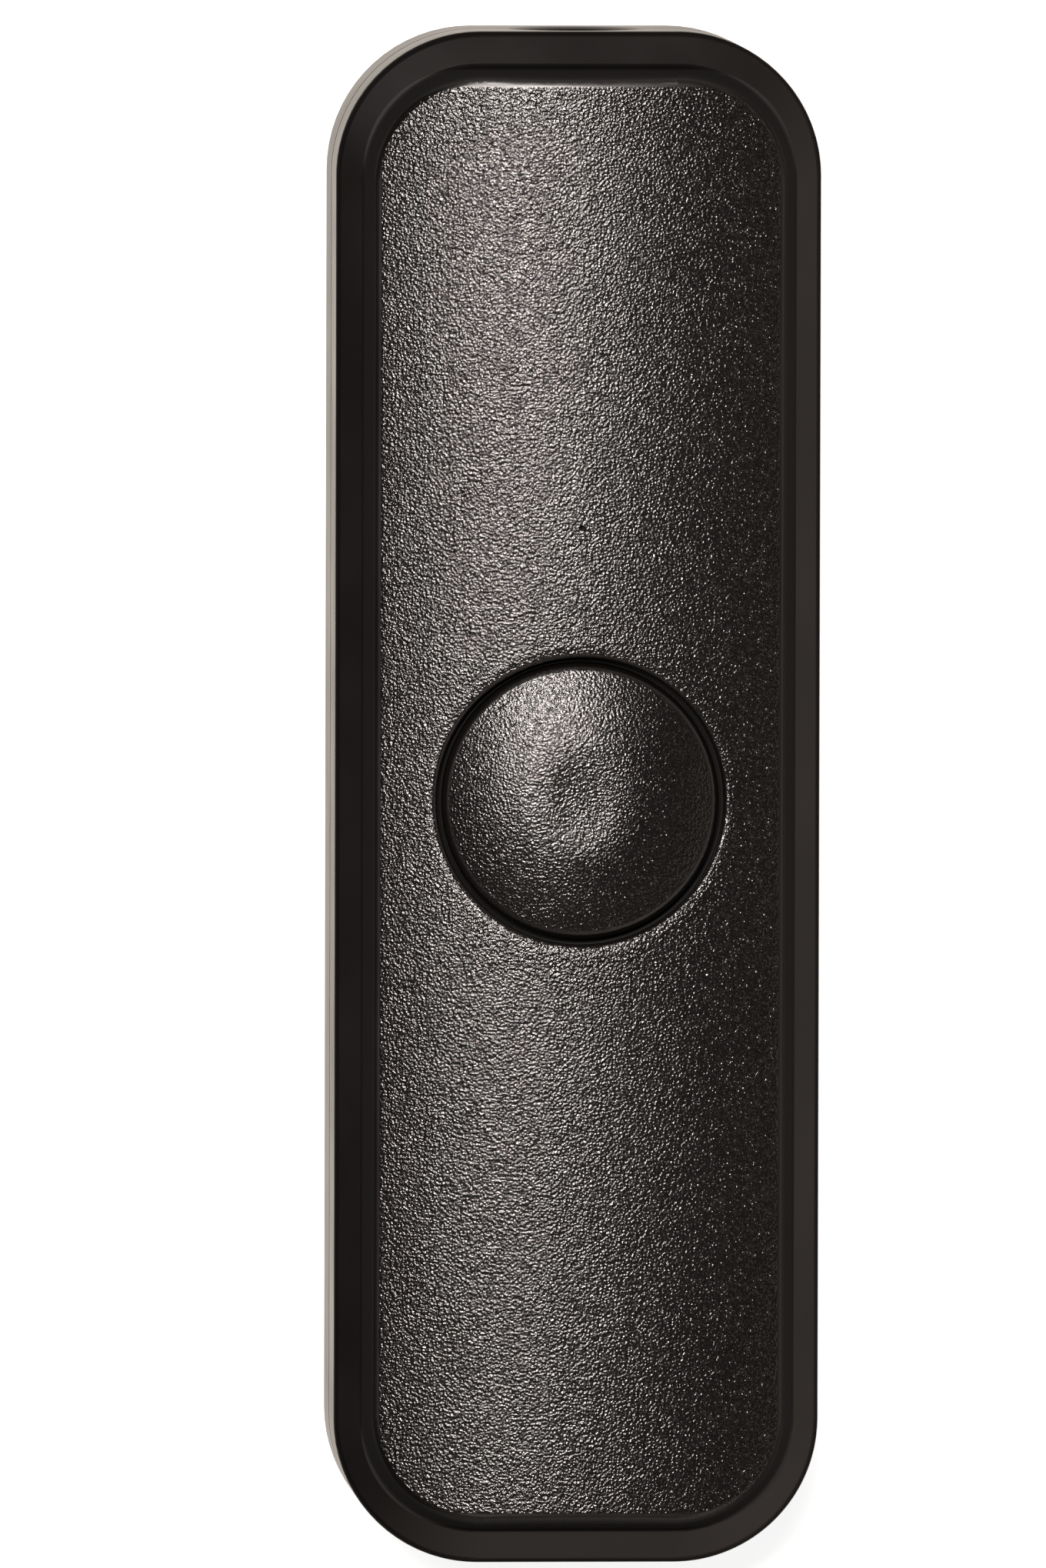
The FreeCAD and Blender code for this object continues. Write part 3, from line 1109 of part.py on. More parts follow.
def make_terminals():
    """Two-pole terminal block at each end: block, clamp cages and screws."""
    block = new_body("input_terminal_block", y="Places.terminal_centre", z="Places.board_top")
    outline = new_sketch(block, "terminal_outline")
    draw_rectangle(outline, "Sizes.terminal_width / 2", "Sizes.terminal_depth / 2")
    pad(block, outline, "Sizes.terminal_height", "terminal_body")
    openings = new_sketch(block, "pole_outlines", "XZ_Plane", lift="-Sizes.terminal_depth / 2")
    for side in (1, -1):
        draw_rectangle(openings, "Sizes.pole_width / 2", "Sizes.pole_height / 2",
                       f"{side} * Sizes.pole_pitch / 2", "Sizes.pole_floor + Sizes.pole_height / 2")
    pocket(block, openings, "Sizes.pole_depth", "wire_openings", upwards=True)
    wells = new_sketch(block, "screw_well_outlines", lift="Sizes.terminal_height")
    for side in (1, -1):
        draw_circle(wells, "Sizes.terminal_head_radius + Sizes.screw_hole_clearance",
                    f"{side} * Sizes.pole_pitch / 2", "Places.cage_y")
    depth = "Sizes.terminal_height - Sizes.pole_floor - Sizes.pole_height + Sizes.cage_clearance"
    pocket(block, wells, depth, "screw_wells")

    cages = []
    screws = []
    for side in (1, -1):
        across = f"{side} * Sizes.pole_pitch / 2"
        along = "Places.terminal_centre + Places.cage_y"
        base = "Places.pole_base + Sizes.cage_clearance"
        outer = box("cage_outer", "Places.cage_width", "Sizes.cage_length", "Places.cage_height",
                    across, along, base)
        inner = box("cage_inner", "Places.cage_width - 2 * Sizes.cage_wall", "Sizes.cage_length + 1",
                    "Places.cage_height - 2 * Sizes.cage_wall", across, along, f"{base} + Sizes.cage_wall")
        hole = rod("cage_hole", "Sizes.terminal_screw_radius + Sizes.screw_hole_clearance",
                   "2 * Sizes.cage_wall", across, along, "Places.cage_top - 1.5 * Sizes.cage_wall")
        cages.append(less(f"cage_{len(cages)}", less(f"cage_frame_{len(cages)}", outer, inner), hole))
        one = screw(f"terminal_screw_{len(screws)}", "Sizes.terminal_head_radius",
                    "Sizes.terminal_head_height", "Sizes.terminal_screw_radius",
                    "Sizes.terminal_screw_reach + Sizes.cage_clearance")
        put(one, across, along, "Places.cage_top + Sizes.cage_clearance")
        screws.append(one)
    near = [block, group("input_terminal_cages", cages), group("input_terminal_screws", screws)]
    far = [mirrored(piece.Label.replace("input", "output"), piece, (0, 1, 0)) for piece in near]
    return near + far


def make_clamps():
    """Arched bar and two screws at each end that hold the cord on its block."""
    bar = new_body("input_cord_clamp", y="Places.clamp_centre")
    section = new_sketch(bar, "clamp_bar_profile", "XZ_Plane")
    channel_half = "sqrt(Sizes.clamp_channel_radius ^ 2 - Sizes.clamp_parting_gap ^ 2)"
    draw_outline(section, [
        ("-Sizes.clamp_half_width", "Places.clamp_bar_base"),
        (f"-{channel_half}", "Places.clamp_bar_base", "Sizes.clamp_channel_radius", 1),
        (channel_half, "Places.clamp_bar_base"),
        ("Sizes.clamp_half_width", "Places.clamp_bar_base"),
        ("Sizes.clamp_half_width", "Places.clamp_bar_top"),
        ("-Sizes.clamp_half_width", "Places.clamp_bar_top"),
    ])
    pad(bar, section, "Sizes.clamp_length", "clamp_arch", both_ways=True)
    holes = new_sketch(bar, "clamp_hole_outlines", lift="Places.clamp_bar_top")
    for side in (1, -1):
        draw_circle(holes, "Sizes.clamp_screw_radius + Sizes.screw_hole_clearance",
                    f"{side} * Sizes.clamp_screw_spacing")
    pocket(bar, holes, "Places.clamp_bar_top - Places.clamp_bar_base", "clamp_holes")
    one = screw("clamp_screw", "Sizes.clamp_head_radius", "Sizes.clamp_head_height",
                "Sizes.clamp_screw_radius", "Sizes.clamp_screw_length")
    put(one, "Sizes.clamp_screw_spacing", "Places.clamp_centre", "Places.clamp_bar_top")
    pair = group("input_clamp_screws", [one, mirrored("clamp_screw_across", one, (1, 0, 0))])
    return [
        bar, pair,
        mirrored("output_cord_clamp", bar, (0, 1, 0)),
        mirrored("output_clamp_screws", pair, (0, 1, 0)),
    ]


def make_power_parts():
    """Power transistors, rectifier diodes and the fuse."""
    transistors = []
    for side in (1, -1):
        across = f"{side} * Places.transistor_x"
        front = "Places.transistor_y - Sizes.transistor_depth / 2"
        members = [
            box("transistor_body", "Sizes.transistor_width", "Sizes.transistor_depth",
                "Sizes.transistor_height", across, "Places.transistor_y", "Places.board_top"),
            box("transistor_tab", "Sizes.tab_width", "2 * Sizes.transistor_tab",
                "Sizes.lead_thickness", across,
                "Places.transistor_y + Sizes.transistor_depth / 2", "Places.board_top"),
        ]
        for lead in (1, -1):
            members.append(box(
                "transistor_lead", "Sizes.lead_width", "2 * Sizes.lead_reach", "Sizes.lead_thickness",
                f"{across} + {lead} * Sizes.lead_spacing / 2", front, "Places.board_top"))
        transistors.append(joined(f"transistor_{len(transistors)}", members))

    diodes = []
    for step in FOUR_STEPS:
        across = f"{step} * Sizes.diode_pitch"
        body = box("diode_body", "Sizes.diode_length - Sizes.lead_thickness", "Sizes.diode_width",
                   "Sizes.diode_height", across, "-Places.diode_y", "Places.board_top")
        straps = box("diode_straps", "Sizes.diode_length", "Sizes.strap_width", "Sizes.strap_height",
                     across, "-Places.diode_y", "Places.board_top")
        diodes.append(joined(f"diode_{len(diodes)}", [body, straps]))

    tube = box("fuse_tube", "Sizes.fuse_side", "Sizes.fuse_length - Sizes.fuse_cap", "Sizes.fuse_side",
               "Places.side_bay_centre", z="Places.board_top + Sizes.fuse_cap_rim")
    caps = [tube]
    for end in (1, -1):
        caps.append(box(
            "fuse_end_cap", "Sizes.fuse_side + 2 * Sizes.fuse_cap_rim", "Sizes.fuse_cap",
            "Sizes.fuse_side + 2 * Sizes.fuse_cap_rim", "Places.side_bay_centre",
            f"{end} * (Sizes.fuse_length - Sizes.fuse_cap) / 2", "Places.board_top"))
    return [group("power_transistors", transistors), group("rectifier_diodes", diodes), joined("fuse", caps)]


def make_control_parts():
    """Control chip and the row of chip resistors."""
    members = [box("chip_body", "Sizes.chip_width", "Sizes.chip_length", "Sizes.chip_height",
                   "-Places.side_bay_centre", z="Places.board_top")]
    for row in FOUR_STEPS:
        members.append(box(
            "chip_leads", "Sizes.chip_width + 2 * Sizes.chip_lead_reach", "Sizes.chip_lead_width",
            "Sizes.chip_lead_thickness", "-Places.side_bay_centre",
            f"{row} * Sizes.chip_lead_pitch", "Places.board_top"))
    chip = joined("control_chip", members)

    resistors = []
    for step in range(int(value_of("Sizes.resistor_count"))):
        across = f"({step} - (Sizes.resistor_count - 1) / 2) * Sizes.resistor_pitch"
        core = box("resistor_core", "Sizes.resistor_length",
                   "Sizes.resistor_width - 2 * Sizes.resistor_end_rim",
                   "Sizes.resistor_height - Sizes.resistor_end_rim",
                   across, "-Places.resistor_y", "Places.board_top")
        ends = [core]
        for side in (1, -1):
            ends.append(box(
                "resistor_end", "Sizes.resistor_end_length", "Sizes.resistor_width",
                "Sizes.resistor_height",
                f"{across} + {side} * (Sizes.resistor_length - Sizes.resistor_end_length) / 2",
                "-Places.resistor_y", "Places.board_top"))
        resistors.append(joined(f"resistor_{step}", ends))
    return [chip, group("chip_resistors", resistors)]


def make_choke():
    """Interference choke: a spool of ferrite and its winding."""
    core = new_body("choke_core", "-Places.choke_x", "Places.upper_bay_centre", "Places.board_top")
    section = new_sketch(core, "choke_profile", "XZ_Plane")
    upper = "Sizes.choke_height - Sizes.choke_flange_height"
    draw_outline(section, [
        ("0", "0"),
        ("Sizes.choke_radius", "0"),
        ("Sizes.choke_radius", "Sizes.choke_flange_height"),
        ("Sizes.choke_waist_radius", "Sizes.choke_flange_height"),
        ("Sizes.choke_waist_radius", upper),
        ("Sizes.choke_radius", upper),
        ("Sizes.choke_radius", "Sizes.choke_height"),
        ("0", "Sizes.choke_height"),
    ])
    turn(core, section, "choke_turned")
    winding = new_body("choke_winding", "-Places.choke_x", "Places.upper_bay_centre", "Places.board_top")
    ring = new_sketch(winding, "winding_outline", lift="Sizes.choke_flange_height + Sizes.winding_gap")
    draw_circle(ring, "Sizes.choke_radius - Sizes.winding_inset")
    draw_circle(ring, "Sizes.choke_waist_radius + Sizes.winding_gap")
    between = "Sizes.choke_height - 2 * (Sizes.choke_flange_height + Sizes.winding_gap)"
    pad(winding, ring, between, "wound_wire")
    return [core, winding]


def make_varistor():
    """Coated disc that stands on two leads."""
    body = new_body("varistor", "Places.choke_x", "Places.upper_bay_centre", "Places.board_top")
    disc = new_sketch(body, "disc_outline", "XZ_Plane")
    draw_circle(disc, "Sizes.varistor_radius", y="Sizes.varistor_standoff + Sizes.varistor_radius")
    pressed = pad(body, disc, "Sizes.varistor_thickness", "disc", both_ways=True)
    round_edges(body, pressed, lambda edge: isinstance(edge.Curve, Part.Circle),
                "Sizes.coating_round", "disc_coating")
    leads = new_sketch(body, "varistor_lead_outlines")
    for side in (1, -1):
        draw_circle(leads, "Sizes.wire_radius", f"{side} * Sizes.varistor_lead_spacing / 2")
    pad(body, leads, "Sizes.varistor_standoff + Sizes.varistor_radius", "varistor_leads")
    return body


def make_capacitors():
    """Film capacitor and the electrolytic one that lies beside it."""
    film = new_body("film_capacitor", "-Places.film_cap_x", "-Places.lower_bay_centre", "Places.board_top")
    outline = new_sketch(film, "film_outline")
    draw_rounded(outline, "Sizes.film_cap_width / 2", "Sizes.film_cap_depth / 2", "Sizes.film_cap_round")
    case = pad(film, outline, "Sizes.film_cap_height", "film_case")
    round_edges(film, case, level_at("Sizes.film_cap_height"), "Sizes.film_cap_round", "film_edge")

    can = new_body("electrolytic_can", "Places.can_x", "-Places.lower_bay_centre", "Places.board_top")
    section = new_sketch(can, "can_profile", "XZ_Plane", y="Sizes.can_radius")
    half = "Sizes.can_length / 2"
    chamfer = "Sizes.can_bead_depth"
    bead_start = f"Sizes.can_bead_width - {half}"
    draw_outline(section, [
        (f"-{half}", "0"),
        (f"-{half}", f"Sizes.can_radius - {chamfer}"),
        (f"{chamfer} - {half}", "Sizes.can_radius"),
        (bead_start, "Sizes.can_radius"),
        (f"{bead_start} + Sizes.can_bead_width / 2", "Sizes.can_radius - Sizes.can_bead_depth"),
        (f"{bead_start} + Sizes.can_bead_width", "Sizes.can_radius"),
        (f"{half} - {chamfer}", "Sizes.can_radius"),
        (half, f"Sizes.can_radius - {chamfer}"),
        (half, "0"),
    ])
    turn(can, section, "can_turned", "H_Axis")
    leads = [can]
    for side in (1, -1):
        along = f"{side} * Sizes.can_lead_spacing / 2 - Places.lower_bay_centre"
        thick = "2 * Sizes.wire_radius"
        leads.append(box("can_lead", thick, thick, f"Sizes.can_radius + {thick} / 2",
                         f"Places.can_x - {half} - Sizes.wire_radius", along, "Places.board_top"))
    return [film, joined("electrolytic_capacitor", leads)]


def check_document():
    """Stop if any object failed or any cut removed nothing."""
    doc.recompute()
    for thing in doc.Objects:
        if "Invalid" in thing.State or "Error" in thing.State:
            raise RuntimeError(f"{thing.Name} failed: {thing.State}")
        if thing.TypeId in ("PartDesign::Pocket", "PartDesign::Groove"):
            if thing.Shape.Volume > thing.BaseFeature.Shape.Volume - 1e-6:
                raise RuntimeError(f"{thing.Name} cuts nothing")


def write_parts(parts):
    """Check each sub-part's shape and write it to its own file."""
    os.makedirs("parts", exist_ok=True)
    for part in parts:
        shape = part.Shape
        if shape.isNull() or not shape.isValid() or not shape.Solids:
            raise RuntimeError(f"{part.Label} has no valid solid")
        shape.exportStep(f"parts/{part.Label}.step")
        print(f"{part.Label}: {len(shape.Solids)} solid(s), {shape.Volume:.2f} mm3")


PARTS = [
    make_upper_shell(),
    make_lower_shell(),
    make_case_screws(),
    make_button_cap(),
    *make_switch(),
    make_circuit_board(),
    make_board_screws(),
    *make_indicator(),
    *make_terminals(),
    *make_clamps(),
    *make_power_parts(),
    *make_control_parts(),
    *make_choke(),
    make_varistor(),
    *make_capacitors(),
]
check_document()
write_parts(PARTS)
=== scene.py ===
"""Looks of an inline cord dimmer: its finishes, small details, camera and studio.

Every length is in metres, in the part's own frame: X across the casing, Y along it with the
indicator towards +Y, and Z up from the bottom face.
"""

import logging
import math
from collections.abc import Callable, Sequence
from dataclasses import dataclass
from enum import Enum

import bmesh
import bpy
from mathutils import Matrix, Vector


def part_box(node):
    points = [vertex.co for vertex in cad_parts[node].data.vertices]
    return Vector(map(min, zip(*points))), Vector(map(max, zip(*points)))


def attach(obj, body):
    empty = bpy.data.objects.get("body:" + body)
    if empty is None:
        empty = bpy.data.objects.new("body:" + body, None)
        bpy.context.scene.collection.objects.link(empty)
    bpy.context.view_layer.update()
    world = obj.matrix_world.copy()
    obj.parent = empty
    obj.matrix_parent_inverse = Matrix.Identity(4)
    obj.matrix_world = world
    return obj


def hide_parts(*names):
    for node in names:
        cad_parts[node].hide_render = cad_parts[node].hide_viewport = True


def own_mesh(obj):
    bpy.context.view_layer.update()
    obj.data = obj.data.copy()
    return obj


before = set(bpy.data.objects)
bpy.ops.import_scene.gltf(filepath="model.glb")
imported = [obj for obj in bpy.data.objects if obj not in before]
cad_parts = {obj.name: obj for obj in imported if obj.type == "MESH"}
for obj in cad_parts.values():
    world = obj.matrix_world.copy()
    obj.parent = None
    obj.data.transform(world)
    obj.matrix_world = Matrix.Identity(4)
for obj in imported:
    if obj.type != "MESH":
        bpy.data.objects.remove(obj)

MM = 0.001
# Blender's wave texture repeats about every two thread widths where its scale is divided by this
WAVE_DIVISOR = 6.2832
# Where most values of Blender's noise texture lie
NOISE_RANGE = (0.3, 0.7)
LOG = logging.getLogger("cord_dimmer")

Colour = tuple[float, float, float, float]
Point = tuple[float, float, float]
Pair = tuple[float, float]
Tree = bpy.types.NodeTree
Socket = bpy.types.NodeSocket
Inputs = dict[str | int, object]


class End(Enum):
    """The two ends of the board, by what the cord does there."""

    INPUT = "input"
    OUTPUT = "output"


def linear(hex_colour: str) -> Colour:
    """Turn an sRGB hex colour into linear values.

    Args:
        hex_colour: Six hex digits after a hash sign.

    Returns:
        Linear red, green and blue with full opacity.
    """
    parts = [int(hex_colour[k : k + 2], 16) / 255 for k in (1, 3, 5)]
    red, green, blue = (
        p / 12.92 if p <= 0.04045 else ((p + 0.055) / 1.055) ** 2.4 for p in parts
    )
    return (red, green, blue, 1.0)


def per_metre(millimetres: float) -> float:
    """Give the texture scale for a pattern that repeats every so many millimetres."""
    return 1000.0 / millimetres


def add_node(
    tree: Tree,
    kind: str,
    inputs: Inputs | None = None,
    output: int | str = 0,
    **settings: object,
) -> Socket | None:
    """Add a node with its settings, values and links.

    Args:
        tree: The tree that gets the node.
        kind: Blender's name for the kind of node.
        inputs: Value or socket for each input, by name or number.
        output: The output to give back.
        settings: Properties of the node.

    Returns:
        That output, or None where the node has none.
    """
    node = tree.nodes.new(kind)
    for key, value in settings.items():
        setattr(node, key, value)
    for key, value in (inputs or {}).items():
        if isinstance(value, Socket):
            tree.links.new(value, node.inputs[key])
        else:
            node.inputs[key].default_value = value
    return node.outputs[output] if node.outputs else None


def ray_kinds(tree: Tree) -> tuple[Socket, Socket]:
    """Tell the camera's own rays from those that meet a glossy or clear surface first.

    Args:
        tree: The node tree of a material or the world.

    Returns:
        1 for the camera's rays, and 1 for the mirrored ones.
    """
    camera = add_node(tree, "ShaderNodeLightPath", output="Is Camera Ray")
    kinds = camera.node.outputs
    mirrored = add_node(tree, "ShaderNodeMath", {
        0: kinds["Is Glossy Ray"], 1: kinds["Is Transmission Ray"],
    }, operation="MAXIMUM")
    return camera, mirrored


@dataclass(frozen=True)
class Finish:
    """A real material and how its surface was made."""

    name: str
    colour: str
    roughness: float
    metallic: float = 0.0
    ior: float = 1.5

    def material(self) -> bpy.types.Material:
        """Give the Blender material, which is made at its first use."""
        return bpy.data.materials.get(self.name) or self.build()

    def build(self) -> bpy.types.Material:
        """Make the Blender material.

        Returns:
            The material, with a shader whose changing inputs come from surface().
        """
        material = bpy.data.materials.new(self.name)
        material.use_nodes = True
        tree = material.node_tree
        tree.nodes.clear()
        place = add_node(tree, "ShaderNodeTexCoord", output="Object")
        inputs: Inputs = {
            "Base Color": linear(self.colour),
            "Roughness": self.roughness,
            "Metallic": self.metallic,
        }
        if self.metallic < 1:
            inputs["IOR"] = self.ior
        inputs.update(self.surface(tree, place))
        shader = add_node(tree, "ShaderNodeBsdfPrincipled", inputs)
        add_node(tree, "ShaderNodeOutputMaterial", {"Surface": shader})
        return material

    def surface(self, tree: Tree, place: Socket) -> Inputs:
        """Give the shader's inputs that change over the surface.

        Args:
            tree: The material's node tree.
            place: The point on the surface, in metres.

        Returns:
            Value or socket for each changed input.
        """
        raise NotImplementedError

    def blotches(
        self, tree: Tree, place: Socket, size_mm: float, low: float, high: float, detail: float = 3.0
    ) -> Socket:
        """Give a number that wanders between two values over the surface.

        Args:
            tree: The material's node tree.
            place: The point on the surface, in metres.
            size_mm: Width of a blotch.
            low: Least value.
            high: Greatest value.
            detail: Octaves of finer blotches.

        Returns:
            The number.
        """
        cloud = add_node(tree, "ShaderNodeTexNoise", {
            "Vector": place, "Scale": per_metre(size_mm), "Detail": detail,
        })
        return add_node(tree, "ShaderNodeMapRange", {
            "Value": cloud, "From Min": NOISE_RANGE[0], "From Max": NOISE_RANGE[1],
            "To Min": low, "To Max": high,
        })

    def shade(self, tree: Tree, share: Socket, low: str, high: str) -> Socket:
        """Mix two hex colours by a share from 0 to 1.

        Args:
            tree: The material's node tree.
            share: Share of the second colour.
            low: Hex colour at 0.
            high: Hex colour at 1.

        Returns:
            The mixed colour.
        """
        return add_node(tree, "ShaderNodeMix", {
            0: share, 6: linear(low), 7: linear(high),
        }, output=2, data_type="RGBA")

    def bumped(self, tree: Tree, height: Socket, depth_mm: float) -> Socket:
        """Turn a height from 0 to 1 into a normal.

        Args:
            tree: The material's node tree.
            height: The height.
            depth_mm: Depth from 0 to 1 on the real surface.

        Returns:
            The normal.
        """
        return add_node(tree, "ShaderNodeBump", {
            "Height": height, "Distance": depth_mm * MM, "Strength": 1.0,
        })


@dataclass(frozen=True)
class MouldedPlastic(Finish):
    """Injection-moulded plastic, which copies the fine grain of its mould."""

    pale: str = "#2a2826"
    grain_mm: float = 0.12
    grain_depth_mm: float = 0.0012
    flow_mm: float = 9.0
    shade_ratio: float = 2.2
    gloss_change: float = 0.04

    def surface(self, tree: Tree, place: Socket) -> Inputs:
        """Give fine grain, slow changes of gloss and a little unevenness of colour.

        Args:
            tree: The material's node tree.
            place: The point on the surface, in metres.

        Returns:
            Value or socket for each changed input.
        """
        gloss = self.blotches(
            tree, place, self.flow_mm,
            self.roughness - self.gloss_change, self.roughness + self.gloss_change,
        )
        share = self.blotches(tree, place, self.shade_ratio * self.flow_mm, 0.0, 1.0)
        grain = add_node(tree, "ShaderNodeTexNoise", {
            "Vector": place, "Scale": per_metre(self.grain_mm), "Detail": 2.0,
        })
        return {
            "Base Color": self.shade(tree, share, self.colour, self.pale),
            "Roughness": gloss,
            "Normal": self.bumped(tree, grain, self.grain_depth_mm),
        }


@dataclass(frozen=True)
class ErodedPlastic(MouldedPlastic):
    """Moulded plastic whose face has the coarse pitted grain of a spark-eroded mould.

    The real pits look about 0.1 mm wide, too fine to show, so they are drawn wider and as much deeper.
    """

    pit_mm: float = 0.17
    pit_depth_mm: float = 0.076
    pit_roughness: float = 0.21
    lump_roughness: float = 0.45
    cell_ratio: float = 1.1
    cell_softness: float = 0.7
    cell_share: float = 0.25
    gap_roughness: float = 0.13
    depth_roughness: float = 1.0

    def face(self, tree: Tree, place: Socket) -> Socket:
        """Give 1 on the grained face and 0 on the satin rest.

        Args:
            tree: The material's node tree.
            place: The point on the surface, in metres.

        Returns:
            The share of the coarse grain.
        """
        raise NotImplementedError

    def gap(self, tree: Tree, place: Socket) -> Socket:
        """Give 1 on the walls of the gap round the button and 0 on the open surface.

        Args:
            tree: The material's node tree.
            place: The point on the surface, in metres.

        Returns:
            The share of the walls' own skin.
        """
        raise NotImplementedError

    def depth(self, tree: Tree, place: Socket) -> Socket:
        """Give 1 deep in that gap, where the walls are dull, and 0 near its mouth.

        Args:
            tree: The material's node tree.
            place: The point on the surface, in metres.

        Returns:
            The share of the dull skin.
        """
        raise NotImplementedError

    def rolled(self, tree: Tree, place: Socket, normal: Socket) -> Socket:
        """Give the normal of the surface under the grain.

        Args:
            tree: The material's node tree.
            place: The point on the surface, in metres.
            normal: The normal of the satin skin.

        Returns:
            The same normal, for a face that keeps its shape up to its edges.
        """
        return normal

    def from_middle(self, tree: Tree, place: Socket) -> Socket:
        """Give the distance in plan from the button's axis.

        Args:
            tree: The material's node tree.
            place: The point on the surface, in metres.

        Returns:
            The distance, in metres.
        """
        plan = add_node(tree, "ShaderNodeVectorMath", {0: place, 1: (1.0, 1.0, 0.0)}, operation="MULTIPLY")
        return add_node(tree, "ShaderNodeVectorMath", {0: plan}, output="Value", operation="LENGTH")

    def rise(self, tree: Tree, value: Socket, start_mm: float, end_mm: float) -> Socket:
        """Give a share that goes softly from 0 to 1 between two lengths.

        Args:
            tree: The material's node tree.
            value: The length that decides, in metres.
            start_mm: Where the share is 0.
            end_mm: Where the share is 1.

        Returns:
            The share.
        """
        return add_node(tree, "ShaderNodeMapRange", {
            "Value": value, "From Min": start_mm * MM, "From Max": end_mm * MM,
        }, interpolation_type="SMOOTHSTEP")

    def pits(self, tree: Tree, place: Socket) -> Socket:
        """Give the height of the eroded grain: worm-like lumps, with some round cells among them.

        Args:
            tree: The material's node tree.
            place: The point on the surface, in metres.

        Returns:
            The height, about 0 to 1.
        """
        lumps = add_node(tree, "ShaderNodeTexNoise", {
            "Vector": place, "Scale": per_metre(self.pit_mm), "Detail": 1.0,
            "Roughness": self.lump_roughness,
        })
        cells = add_node(tree, "ShaderNodeTexVoronoi", {
            "Vector": place, "Scale": per_metre(self.cell_ratio * self.pit_mm),
            "Smoothness": self.cell_softness,
        }, feature="SMOOTH_F1")
        return add_node(tree, "ShaderNodeMix", {0: self.cell_share, 2: lumps, 3: cells})

    def surface(self, tree: Tree, place: Socket) -> Inputs:
        """Give the eroded grain on the face, the walls' skin in the gap and the satin skin elsewhere.

        Args:
            tree: The material's node tree.
            place: The point on the surface, in metres.

        Returns:
            Value or socket for each changed input.
        """
        inputs = super().surface(tree, place)
        share = self.face(tree, place)
        relief = add_node(tree, "ShaderNodeBump", {
            "Height": self.pits(tree, place), "Distance": self.pit_depth_mm * MM,
            "Strength": share, "Normal": self.rolled(tree, place, inputs["Normal"]),
        })
        gloss = add_node(tree, "ShaderNodeMix", {
            0: share, 2: inputs["Roughness"], 3: self.pit_roughness,
        })
        walls = add_node(tree, "ShaderNodeMix", {
            0: self.depth(tree, place), 2: self.gap_roughness, 3: self.depth_roughness,
        })
        gloss = add_node(tree, "ShaderNodeMix", {0: self.gap(tree, place), 2: gloss, 3: walls})
        return {"Base Color": inputs["Base Color"], "Roughness": gloss, "Normal": relief}


